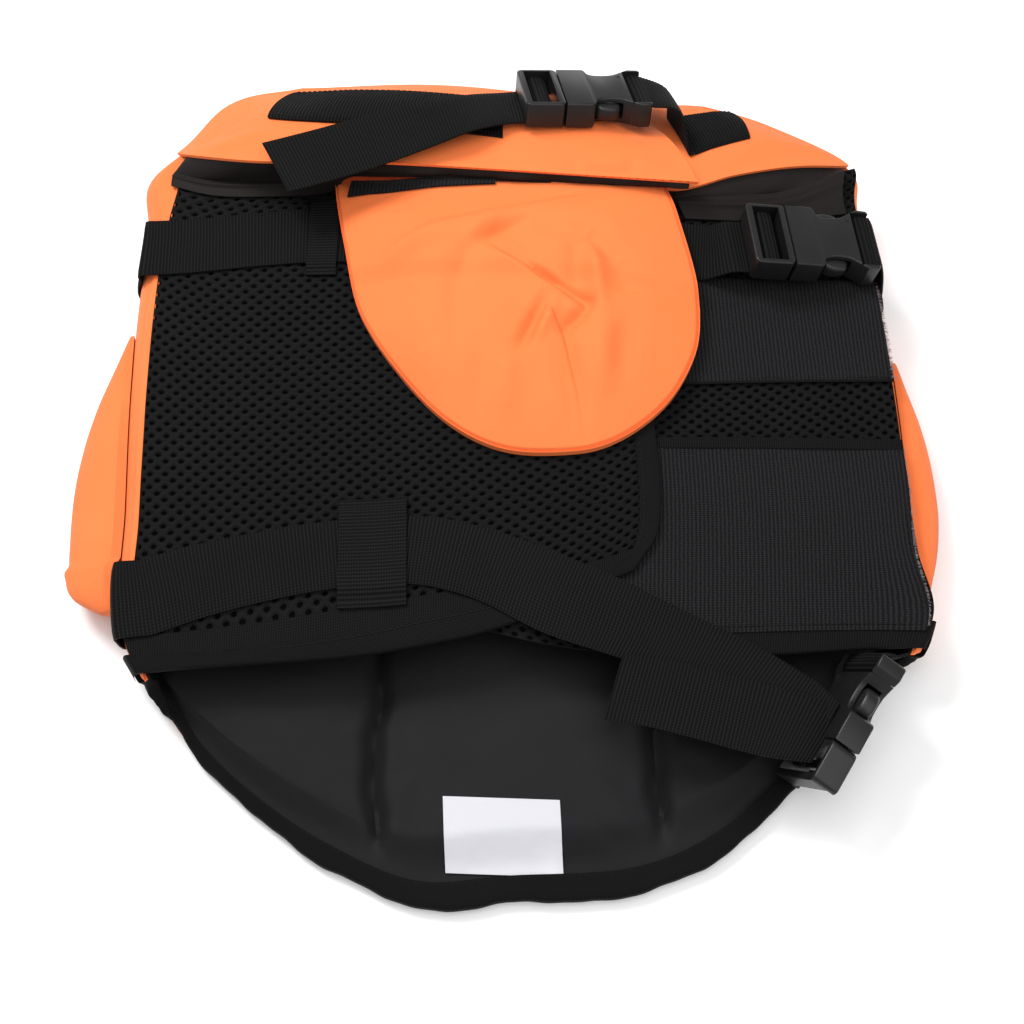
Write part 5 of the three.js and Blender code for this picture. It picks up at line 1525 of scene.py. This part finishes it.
def make_flap(name, surface, side, columns):
    """A neck flap: its bulged surface with listed creases that die out at its edges."""
    along, across = np.linspace(0, 1, columns), np.linspace(0, 1, 60)
    a, b = np.meshgrid(along, across)
    p = surface(a, b)
    inside = ease(a / 0.08) * ease((1 - a) / 0.08) * ease(b / 0.1) * ease((1 - b) / 0.1)
    normal = normals(surface, a, b)
    crease = FLAP_CREASED * folds(p[..., 0], p[..., 1], FLAP_FOLDS[side])
    crease = crease + ripple(p[..., 0], p[..., 1], FLAP_WAVES)
    upper = p + normal * (CLOTH + np.maximum(crease, -1.5) * inside)[..., None]
    lower = p + normal * (np.maximum(crease, -0.2) * inside * 0.6)[..., None]
    return cloth_wall(name, upper, lower, material("orange cloth", orange_cloth))


FACING = {"behind": 0.6, "under": 0.65, "bulge": 1.5}
FACING_WAVES = ((31, 0, 0.5, 0.3), (53, 0, 0.6, 1.9))
APRON_GAP = 0.9


def apron(height, *places):
    """The line where a facing's apron ends: on the panel where no height is given."""
    lift = APRON_GAP + LINING
    return line(*((x, y, z[0] if z else float(height(x, y)) + lift) for x, y, *z in places))


FOLD = {"at": 0.62, "width": 0.07, "height": 2.0, "sway": 0.08, "lift": 0.3, "full": 12.0}


def make_facing(name, edge, start, end, foot, hem):
    """A facing from a flap's lower edge down to its foot, bulged forwards and softly waved, and on
    from there as an apron that lies on the belly panel with a soft fold."""
    def surface(a, b):
        a, b = np.broadcast_arrays(a, b)
        top = edge(mix(start, end, a)) + (0, FACING["behind"], -FACING["under"])
        down, out = np.clip(b * 2, 0, 1), np.clip(b * 2 - 1, 0, 1)
        p = mix(mix(top, foot(a), down[..., None]), hem(a), out[..., None])
        bulge = FACING["bulge"] * 4 * down * (1 - down)
        p[..., 1] -= bulge + ripple(p[..., 0], 0.0, FACING_WAVES) * np.sin(math.pi * down)
        width = np.linalg.norm(hem(a) - foot(a), axis=-1)
        soft = ease(width / FOLD["full"]) * np.sin(math.pi * out)
        ridge = FOLD["height"] * bump(b - FOLD["at"] - FOLD["sway"] * np.sin(3 * a), FOLD["width"])
        p[..., 2] += soft * (ridge + FOLD["lift"])
        return p
    along, across = np.linspace(0, 1, 170), np.linspace(0, 1, 45)
    a, b = np.meshgrid(along, across)
    p = surface(a, b)
    return cloth_wall(name, p, p + normals(surface, a, b) * LINING, material("facing cloth", facing_cloth))


def flap_ribbon(name, surface, corners, count):
    """Webbing sewn flat on a flap: points of the flap's surface between four corners, given as
    shares (along, across) at the lower left, lower right, upper left and upper right, moved out."""
    k, w = np.linspace(0, 1, count)[:, None, None], np.linspace(-1, 1, WEBBING_COLUMNS)
    across = (w[:, None] + 1) / 2
    low_left, low_right, high_left, high_right = (np.array(corner) for corner in corners)
    shares = mix(mix(low_left, low_right, k), mix(high_left, high_right, k), across)
    a, b = shares[..., 0], shares[..., 1]
    p, normal = surface(a, b), normals(surface, a, b)
    base = p + normal * (CLOTH + LAY_GAP)
    s = np.append(0, np.cumsum(np.linalg.norm(np.diff(base[:, WEBBING_COLUMNS // 2], axis=0), axis=1)))
    rib = 0.5 - 0.5 * np.cos(2 * math.pi * s / size("rib_pitch"))[:, None]
    drop = size("rib_depth") * rib + 0.45 * np.abs(w) ** 12
    points, faces = wall(base + normal * (WEBBING - drop)[..., None], base)
    return piece(name, points, faces, wall_uv(s[:, None] + 0 * drop, w * WEBBING_WIDTH / 2 + 0 * drop),
                 [webbing_material()], sharp=75)


ANCHORS = {
    "left": ((0.15, 0.34), (0.63, 0.25), (0.09, 0.74), (0.60, 0.68)),
    "right": ((0.43, 0.24), (0.72, 0.30), (0.50, 0.68), (0.90, 0.72)),
}


def on_flap(surface, a, b, lift):
    return surface(a, b) + normals(surface, a, b) * (CLOTH + lift)


def make_neck_straps():
    """The webbing sewn on both flaps and the strap that the neck buckle closes."""
    along, across = np.array([0.40, 0.435, 0.47]), np.array([0.24, 0.45, 0.66])
    near = on_flap(right_flap, along, across, LAY_GAP + 0.3) + (0, 0, 0.8)
    sewn = on_flap(right_flap, along + 0.025, across, LAY_GAP + 0.3)
    return [
        flap_ribbon("neck_webbing_left", left_flap, ANCHORS["left"], 520),
        flap_ribbon("neck_webbing_right", right_flap, ANCHORS["right"], 220),
        ribbon("neck_strap_end", np.concatenate([free_rows(NECK_FREE_END), buckle_rows("neck", LADDER)])),
        ribbon("neck_strap_behind", np.concatenate([
            buckle_rows("neck", REAR_BAR), free_rows(NECK_RIGHT), near[None], sewn[None]])),
    ]


def lining_height(x, y):
    """Height of the lining's top at plan places, by the nearest of its close points."""
    a, b = np.meshgrid(np.linspace(0.3, 0.7, 240), np.linspace(0, 0.25, 160))
    p = lining_top(a, b).reshape(-1, 3)
    flat = np.stack([np.ravel(x), np.ravel(y)], axis=-1)
    nearest = ((flat[:, None] - p[None, :, :2]) ** 2).sum(-1).argmin(1)
    return p[nearest, 2].reshape(np.shape(x))


def make_label():
    """A plain label with one corner slightly lifted."""
    u, v = np.meshgrid(np.linspace(-0.5, 0.5, 28), np.linspace(-0.62, 0.5, 22))
    x = LABEL["x"] + u * LABEL["width"] - LABEL["slant"] * v
    y = LABEL["y"] + v * LABEL["height"] - LABEL["tilt"] * u
    curl = LABEL["curl"] * bump(u - 0.42, 0.1) * ease((-v - 0.1) / 0.4)
    z = lining_height(x, y) + LABEL["gap"] + curl
    lower = np.stack([x, y, z], axis=-1)
    return cloth_wall("label_plain", lower + (0, 0, LABEL["thick"]), lower,
                      material("label cloth", label_cloth))


# Buckles, in their own frame: +X from the strap's ladder bar to the catch, Z across the depth

HALF = BUCKLE["width"] / 2
SLOT_HALF = WEBBING_WIDTH / 2 + 0.9
CURVE_STEPS = 9


def outline(start, *parts):
    """Plan outline from a start, corners (x, y) and quadratic curves ((control), (end))."""
    points = [np.array(start, float)]
    for part in parts:
        if np.ndim(part) == 1:
            points.append(np.array(part, float))
            continue
        control, end = np.array(part[0], float), np.array(part[1], float)
        begin = points[-1]
        for t in np.linspace(0, 1, CURVE_STEPS + 1)[1:]:
            points.append((1 - t) ** 2 * begin + 2 * t * (1 - t) * control + t**2 * end)
    return np.array(points)


def rounded_box(x0, x1, half, radius):
    return outline((x0 + radius, -half), (x1 - radius, -half), ((x1, -half), (x1, -half + radius)),
                   (x1, half - radius), ((x1, half), (x1 - radius, half)), (x0 + radius, half),
                   ((x0, half), (x0, half - radius)), (x0, -half + radius),
                   ((x0, -half), (x0 + radius, -half)))[:-1]


def inwards(rim):
    """Unit directions into a counterclockwise outline at each of its points."""
    ahead = unit(np.roll(rim, -1, 0) - rim)
    behind = unit(rim - np.roll(rim, 1, 0))
    both = unit(ahead + behind)
    return np.stack([-both[:, 1], both[:, 0]], axis=-1)


def solid(name, points, faces):
    mesh = bpy.data.meshes.new(name)
    mesh.from_pydata(np.asarray(points).tolist(), [], faces)
    made = bpy.data.objects.new(name, mesh)
    bpy.context.scene.collection.objects.link(made)
    return made


EDGE_STEPS = 4


def plate(rim, depth, radius, z=0.0):
    """A plate whose edges are quarter rounds of the radius."""
    area = np.cross(rim, np.roll(rim, -1, 0)).sum() / 2
    if area < 0:
        rim = rim[::-1]
    into = inwards(rim)
    rings = []
    for sign in (-1, 1):
        turns = np.linspace(0, math.pi / 2, EDGE_STEPS)
        turns = turns[::-1] if sign < 0 else turns
        for turn in turns:
            flat = rim + into * radius * (1 - math.cos(turn))
            level = z + sign * (depth / 2 - radius + radius * math.sin(turn))
            rings.append(np.column_stack([flat, np.full(len(rim), level)]))
    count, around = len(rings), len(rim)
    faces = quads_of(count, around, closed=True).tolist()
    faces += [list(range(around))[::-1], [(count - 1) * around + i for i in range(around)]]
    return solid("plate", np.concatenate(rings), faces)


def block(x0, x1, half, depth, z=0.0, radius=0.25):
    rim = np.array([(x0, -half), (x1, -half), (x1, half), (x0, half)])
    return plate(rim, depth, radius, z)


def carve(body, *steps):
    """Unions and cuts in order. Returns the shape's points and its faces by number of corners."""
    for operation, tool in steps:
        cut = body.modifiers.new("shape", "BOOLEAN")
        cut.operation, cut.object, cut.solver = operation, tool, "EXACT"
    seen = body.evaluated_get(bpy.context.evaluated_depsgraph_get())
    mesh = seen.to_mesh()
    points = np.array([v.co for v in mesh.vertices])
    faces = {}
    for polygon in mesh.polygons:
        faces.setdefault(len(polygon.vertices), []).append(list(polygon.vertices))
    seen.to_mesh_clear()
    for used in [body, *(tool for _, tool in steps)]:
        data = used.data
        bpy.data.objects.remove(used)
        bpy.data.meshes.remove(data)
    if not len(points):
        raise RuntimeError("a buckle half came out empty")
    return points, [np.array(group) for group in faces.values()]


def male_half():
    """A deep frame with a ladder bar, and two springy prongs that end in rounded finger pads."""
    depth, length = BUCKLE["depth"], BUCKLE["male"]
    steps = [("DIFFERENCE", block(-21, -4.5, SLOT_HALF, depth + 2)),
             ("DIFFERENCE", block(-28, -20, SLOT_HALF, 8, z=-7)),
             ("UNION", block(-15.2, -10.4, SLOT_HALF + 1, 4.5, radius=1.2))]
    for side in (-1, 1):
        arm = outline((-2, side * 10), (20, side * 11), ((33, side * 12), (34, side * 16)),
                      ((34.5, side * (HALF - 1)), (26, side * (HALF - 1))),
                      ((19.5, side * (HALF - 1)), (18.5, side * 18)), (15, side * 16.2), (-2, side * 16.2))
        steps.append(("UNION", plate(arm, 9, 2.2)))
    steps.append(("UNION", plate(rounded_box(-2, 28, 3.5, 2), 6, 0.8)))
    return carve(plate(rounded_box(-length, -0.4, HALF, 4), depth, 1.1), *steps)


def female_half():
    """A housing with scooped sides for the finger pads and a flared foot with the webbing's bar."""
    depth, length = BUCKLE["depth"], BUCKLE["female"]
    rim = outline((0, -HALF), (16, -HALF), ((18, -HALF + 0.6), (18.4, -19)), ((19.4, -15), (26, -15)),
                  ((33, -15), (36, -17)), ((42, -21), (45, -HALF)), (length - 1.5, -HALF + 0.4),
                  ((length, -HALF + 1), (length, -HALF + 3)), (length, HALF - 3),
                  ((length, HALF - 1), (length - 1.5, HALF - 0.4)), (45, HALF), ((42, 21), (36, 17)),
                  ((33, 15), (26, 15)), ((19.4, 15), (18.4, 19)), ((18, HALF - 0.6), (16, HALF)), (0, HALF))
    steps = [("DIFFERENCE", block(-2, 36, 19.4, 10)),
             ("DIFFERENCE", block(42, 46.5, SLOT_HALF, depth + 2))]
    steps += [("DIFFERENCE", block(41, 60, SLOT_HALF, 6, z=side * 5.6)) for side in (-1, 1)]
    turn = np.linspace(0, 2 * math.pi, 20, endpoint=False)
    mark = np.stack([38 + 1.1 * np.cos(turn), 12.5 + 1.1 * np.sin(turn)], axis=-1)
    steps += [("DIFFERENCE", plate(mark, 2, 0.1, z=side * (depth / 2 + 0.7))) for side in (-1, 1)]
    return carve(plate(rim, depth, 1.1), *steps)


# Stitches

STITCH_GAP = 0.8
NOTCH = {"length": 1.5, "gap": 3.6, "thick": 0.9}   # the threads that bite into the flaps' edges
TAIL_SEAM = {"row": 0.68, "lift": 1.25}


def resample(points, extra, pitch):
    """Points and directions along a line at equal distances near the pitch."""
    run = np.append(0, np.cumsum(np.linalg.norm(np.diff(points, axis=0), axis=1)))
    at = np.linspace(0, run[-1], max(3, round(run[-1] / pitch) + 1))
    read = [np.stack([np.interp(at, run, values[:, k]) for k in range(3)], axis=-1)
            for values in (points, extra)]
    return read[0], unit(read[1])


def stitches(name, rows, thread, length=None, gap=STITCH_GAP, thick=None):
    """Sewn rows as one mesh. Each stitch is three diamonds joined: it starts in the cloth, arches on
    its face and ends in the cloth. A row is its points and the cloth's normals there."""
    length, thick = length or size("stitch"), thick or size("thread")
    points, faces, count = [], [], 0
    for line_points, line_normals in rows:
        p, normal = resample(np.asarray(line_points), np.asarray(line_normals), length + gap)
        ahead = unit(p[1:] - p[:-1])
        up = unit(normal[:-1] + normal[1:])
        aside = np.cross(ahead, up)
        begin = p[:-1] + ahead * gap / 2
        end = p[1:] - ahead * gap / 2
        rings = []
        for middle, lift, width in ((begin, -0.1, 0.35), (mix(begin, end, 0.22), 0.5, 1.0),
                                    (mix(begin, end, 0.78), 0.5, 1.0), (end, -0.1, 0.35)):
            middle = middle + up * lift * thick * 0.7
            reach = thick * width / 2
            rings.append(np.stack([middle + aside * reach, middle + up * reach,
                                   middle - aside * reach, middle - up * reach], axis=1))
        rings = np.stack(rings, axis=1)
        base = count + np.arange(len(rings))[:, None] * 16
        faces.append((base[:, None] + quads_of(4, 4, closed=True)).reshape(-1, 4))
        faces.append(base + np.array([3, 2, 1, 0]))
        faces.append(base + np.array([12, 13, 14, 15]))
        points.append(rings.reshape(-1, 3))
        count += rings.size // 3
    return piece(name, np.concatenate(points), np.concatenate(faces), None, [thread], sharp=180)


def surface_row(surface, a, b, lift):
    """A row on a surface along the shares a and b, lifted along its normals."""
    a, b = np.broadcast_arrays(np.asarray(a, float), np.asarray(b, float))
    normal = normals(surface, a, b)
    return surface(a, b) + normal * lift, normal


def edge_rows():
    """The seam that joins the flaps to their facings: its threads bite into the flaps' edges."""
    rows = []
    for surface, low, high in ((left_flap, 0.04, 0.99), (right_flap, 0.26, 0.96)):
        a = np.linspace(low, high, 200)
        rows.append(surface_row(surface, a, 0.004 + 0 * a, CLOTH * 0.55))
    return rows


def flap_rows():
    """Stitching round the webbing that is sewn on the flaps."""
    rows = []
    for surface, corners in ((left_flap, ANCHORS["left"]), (right_flap, ANCHORS["right"])):
        low_left, low_right, high_left, high_right = (np.array(corner) for corner in corners)
        k = np.linspace(0.01, 0.99, 120)[:, None]
        for share in (0.06, 0.94):
            a, b = mix(mix(low_left, low_right, k), mix(high_left, high_right, k), share).T
            rows.append(surface_row(surface, a, b, CLOTH + LAY_GAP + WEBBING - 0.1))
    return rows


def panel_rows():
    """Sewing of the loop cloth's edges."""
    rows = []
    t = np.linspace(0.01, 0.99, 120)
    for loop in LOOPS.values():
        surface = on_plan(loop, right_top)
        for a, b in ((t, 0.03), (t, 0.97), (0.012, t), (0.988, t)):
            rows.append(surface_row(surface, a, b, LAY_GAP + LOOP_CLOTH - 0.05))
    return rows


def tape_rows():
    """The seam near each tape's inner edge."""
    a = np.linspace(0.05, 0.95, 300)
    b = np.full_like(a, TAPE_ROW * TAIL_SEAM["row"])
    place, normal = lining_top(a, b), normals(back_point, a, b)
    rows = [(place + normal * (TAPE_THICK["tail"] + TAIL_SEAM["lift"]), normal)]
    on_left, on_right = on_plan(left_panel, left_top), on_plan(right_panel, right_top)
    lift = SEAM_GAP + TAPE_THICK["belly"] - TAPE_SQUEEZE
    a = np.linspace(0.1, 0.95, 160)
    rows.append(surface_row(on_left, a, LEFT_TAPE["row"] * 0.8, lift))
    rows.append(surface_row(on_left, 1 - (1 - LEFT_TAPE["column"]) * 0.8, np.linspace(0.05, 0.88, 160), lift))
    rows.append(surface_row(on_right, np.linspace(0.56, 0.98, 90), RIGHT_TAPE_ROW * 0.8, lift))
    return rows


# Operators

def put(made, slot, *nodes):
    """A piece that rides on the jacket's one body and stands for CAD nodes. The slot is not used."""
    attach(made, "root")
    if nodes:
        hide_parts(*nodes)
    return made


class JACKET_OT_back(bpy.types.Operator):
    """Make the orange back, its padded black lining and the binding round the tail"""
    bl_idname = "jacket.back"
    bl_label = "Back"

    def execute(self, context):
        shell = put(make_shell(), "orange", "back_shell")
        tape = put(make_tail_binding(), "tape", "tail_binding")
        lining = put(make_lining(), "lining", "back_lining")
        return {"FINISHED"}


class JACKET_OT_belly(bpy.types.Operator):
    """Make the two spacer mesh panels, their folded tapes and the left one's hem"""
    bl_idname = "jacket.belly"
    bl_label = "Belly panels"

    def execute(self, context):
        left_tape, right_tape = make_belly_tapes()
        hem = put(make_hem(), "tape")
        left, right = make_belly_left(), make_belly_right()
        put(left, "mesh", "belly_left")
        put(right, "mesh", "belly_right")
        put(left_tape, "tape", "belly_left_binding")
        put(right_tape, "tape", "belly_right_binding")
        return {"FINISHED"}


class JACKET_OT_loops(bpy.types.Operator):
    """Make the right belly's loop cloth with its bands and frayed edge, and the chin float's hook strip"""
    bl_idname = "jacket.loops"
    bl_label = "Loop cloth"

    def execute(self, context):
        for side, flat, hairs in (("upper", (0.18, 0.075), (260, 2.6, 3)),
                                  ("lower", (0.18, 0.12), (420, 1.5, 8))):
            name = "loop_panel_" + side
            trim = put(make_loop_band("loop_band_" + side, LOOP_BANDS[side]), "tape")
            put(make_fuzz("loop_hairs_" + side, name, *hairs), "loop")
            put(make_loop_panel(name), "loop", name)
        put(make_hook(), "loop", "chin_hook")
        return {"FINISHED"}


class JACKET_OT_floats(bpy.types.Operator):
    """Make the two side floats and the chin float"""
    bl_idname = "jacket.floats"
    bl_label = "Floats"

    def execute(self, context):
        for name in FLOATS:
            put(make_float(name), "orange", name)
        put(make_chin(), "orange", "chin_float")
        return {"FINISHED"}


class JACKET_OT_neck(bpy.types.Operator):
    """Make the neck flaps and the black facings under their lower edges"""
    bl_idname = "jacket.neck"
    bl_label = "Neck flaps"

    def execute(self, context):
        for name, surface, side, columns, flat, area in (
                ("neck_flap_left", left_flap, "left", 150, (0.34, 0.10), 0.0245),
                ("neck_flap_right", right_flap, "right", 90, (0.18, 0.09), 0.012)):
            made = put(make_flap(name, surface, side, columns), "orange", "collar_" + side)
        left_hem = apron(left_top, (-203, 214), (-184, 207), (-152, 205), (-116, 206), (-108, 206, 58),
                         (-103, 206.5, 68), (-80, 206, 70), (-5, 203.5, 70.6), (55, 200.5, 70.1),
                         (106, 197.5, 69.6))
        right_hem = apron(right_top, (106, 187), (140, 186.5), (175, 189), (206, 195))
        for side, edge, start, end, foot, hem, flat in (
                ("left", left_flap_edge, 0.05, 0.985, left_facing_foot, left_hem, (0.31, 0.022)),
                ("right", right_flap_edge, 0.27, 0.97, right_facing_foot, right_hem, (0.115, 0.036))):
            made = make_facing("neck_facing_" + side, edge, start, end, foot, hem)
            put(made, "lining", f"collar_{side}_facing")
        return {"FINISHED"}


class JACKET_OT_straps(bpy.types.Operator):
    """Make the webbing of the two belly straps and the neck strap, with its keepers"""
    bl_idname = "jacket.straps"
    bl_label = "Straps"

    def execute(self, context):
        nodes = ("upper_strap_left", "upper_strap_right", "lower_strap", "lower_strap_end",
                 "lower_strap_right")
        for made, node in zip(make_straps(), nodes, strict=True):
            put(made, "webbing", node)
        nodes = ("neck_anchor_left", "neck_anchor_right", "neck_strap_free", "neck_strap_right")
        for made, node in zip(make_neck_straps(), nodes, strict=True):
            put(made, "webbing", node)
        put(make_keeper("keeper_patch_upper", upper_path, upper_height, 0.308, 9.0, 29.0),
            "webbing", "keeper_upper")
        put(make_keeper("keeper_patch_lower", lower_path, lower_height, 0.335, 19.0, 30.0),
            "webbing", "keeper_lower")
        return {"FINISHED"}


class JACKET_OT_buckles(bpy.types.Operator):
    """Make the three fastened side-release buckles"""
    bl_idname = "jacket.buckles"
    bl_label = "Buckles"

    def execute(self, context):
        halves = {"male": male_half(), "female": female_half()}
        plastic = material("buckle plastic", buckle_plastic)
        for place in BUCKLES:
            for half, (points, faces) in halves.items():
                made = piece(f"catch_{place}_{half}", in_buckle(place, points), faces, None, [plastic],
                             sharp=32)
                put(made, "buckle", f"buckle_{place}_{half}")
        return {"FINISHED"}


class JACKET_OT_label(bpy.types.Operator):
    """Make the plain label"""
    bl_idname = "jacket.label"
    bl_label = "Label"

    def execute(self, context):
        put(make_label(), "label", "label")
        return {"FINISHED"}


class JACKET_OT_sewing(bpy.types.Operator):
    """Sew the visible seams"""
    bl_idname = "jacket.sewing"
    bl_label = "Sewing"

    def execute(self, context):
        dark = material("black thread", black_thread)
        put(stitches("sewing_flaps", flap_rows(), dark), "tape")
        put(stitches("sewing_edges", edge_rows(), dark, **NOTCH), "tape")
        put(stitches("sewing_panels", panel_rows(), dark), "tape")
        put(stitches("sewing_tapes", tape_rows(), dark), "tape")
        return {"FINISHED"}


FLOOR = {"reach": 4.0, "under": -0.0006}
WORLD_STRENGTH = 0.50
VIEW = {"target": (0.004297, -0.037465, 0.030), "elevation": 65.0, "distance": 0.9, "lens": 55.0}
LIGHTS = (   # name, place, side length in metres, power in watts
    ("key", (-0.75, 0.75, 1.45), 0.6, 25.0),
    ("top", (0.1, -0.2, 1.9), 1.5, 18.0),
    ("fill", (1.1, -0.9, 1.1), 1.2, 7.0),
)


def aim(thing, place, target):
    thing.location = place
    thing.rotation_euler = (Vector(target) - Vector(place)).to_track_quat("-Z", "Y").to_euler()
    bpy.context.scene.collection.objects.link(thing)


class JACKET_OT_stage(bpy.types.Operator):
    """Set the floor, the soft lights and the camera"""
    bl_idname = "jacket.stage"
    bl_label = "Stage"

    def execute(self, context):
        scene = context.scene
        reach, under = FLOOR["reach"], FLOOR["under"]
        floor = solid("floor", [(-reach, -reach, under), (reach, -reach, under), (reach, reach, under),
                                (-reach, reach, under)], [(0, 1, 2, 3)])
        floor.data.materials.append(material("pale floor", pale_floor))
        target = Vector(VIEW["target"])
        for name, place, side, power in LIGHTS:
            lamp = bpy.data.lights.new(name, "AREA")
            lamp.size, lamp.energy = side, power
            aim(bpy.data.objects.new(name, lamp), place, target)
        rise = math.radians(VIEW["elevation"])
        camera = bpy.data.cameras.new("view")
        camera.lens, camera.clip_start = VIEW["lens"], 0.01
        viewer = bpy.data.objects.new("view", camera)
        aim(viewer, target + VIEW["distance"] * Vector((0, -math.cos(rise), math.sin(rise))), target)
        scene.camera = viewer
        scene.world = scene.world or bpy.data.worlds.new("world")
        scene.world.use_nodes = True
        sky = scene.world.node_tree.nodes["Background"]
        sky.inputs["Color"].default_value = (1.0, 1.0, 1.0, 1.0)
        sky.inputs["Strength"].default_value = WORLD_STRENGTH
        scene.view_settings.view_transform = "Standard"
        return {"FINISHED"}


OPERATORS = (JACKET_OT_back, JACKET_OT_belly, JACKET_OT_floats, JACKET_OT_loops, JACKET_OT_neck,
             JACKET_OT_straps, JACKET_OT_buckles, JACKET_OT_label, JACKET_OT_sewing, JACKET_OT_stage)


class JACKET_PT_panel(bpy.types.Panel):
    """Makes the jacket's pieces one by one"""
    bl_idname = "JACKET_PT_panel"
    bl_label = "Dog life jacket"
    bl_space_type = "VIEW_3D"
    bl_region_type = "UI"
    bl_category = "Jacket"

    def draw(self, context):
        for group in (context.scene.jacket_sizes, context.scene.jacket_colours):
            box = self.layout.box()
            for name in group.bl_rna.properties.keys():
                if name not in ("rna_type", "name"):
                    box.prop(group, name)
        for operator in OPERATORS:
            self.layout.operator(operator.bl_idname)


CLASSES = (JacketSizes, JacketColours, *OPERATORS, JACKET_PT_panel)


def register():
    for made in CLASSES:
        bpy.utils.register_class(made)
    bpy.types.Scene.jacket_sizes = bpy.props.PointerProperty(type=JacketSizes)
    bpy.types.Scene.jacket_colours = bpy.props.PointerProperty(type=JacketColours)


def unregister():
    del bpy.types.Scene.jacket_colours
    del bpy.types.Scene.jacket_sizes
    for made in reversed(CLASSES):
        bpy.utils.unregister_class(made)


def main():
    register()
    for operator in OPERATORS:
        group, name = operator.bl_idname.split(".")
        if getattr(getattr(bpy.ops, group), name)() != {"FINISHED"}:
            raise RuntimeError(operator.bl_label + " wasn't made")


if __name__ == "__main__":
    main()
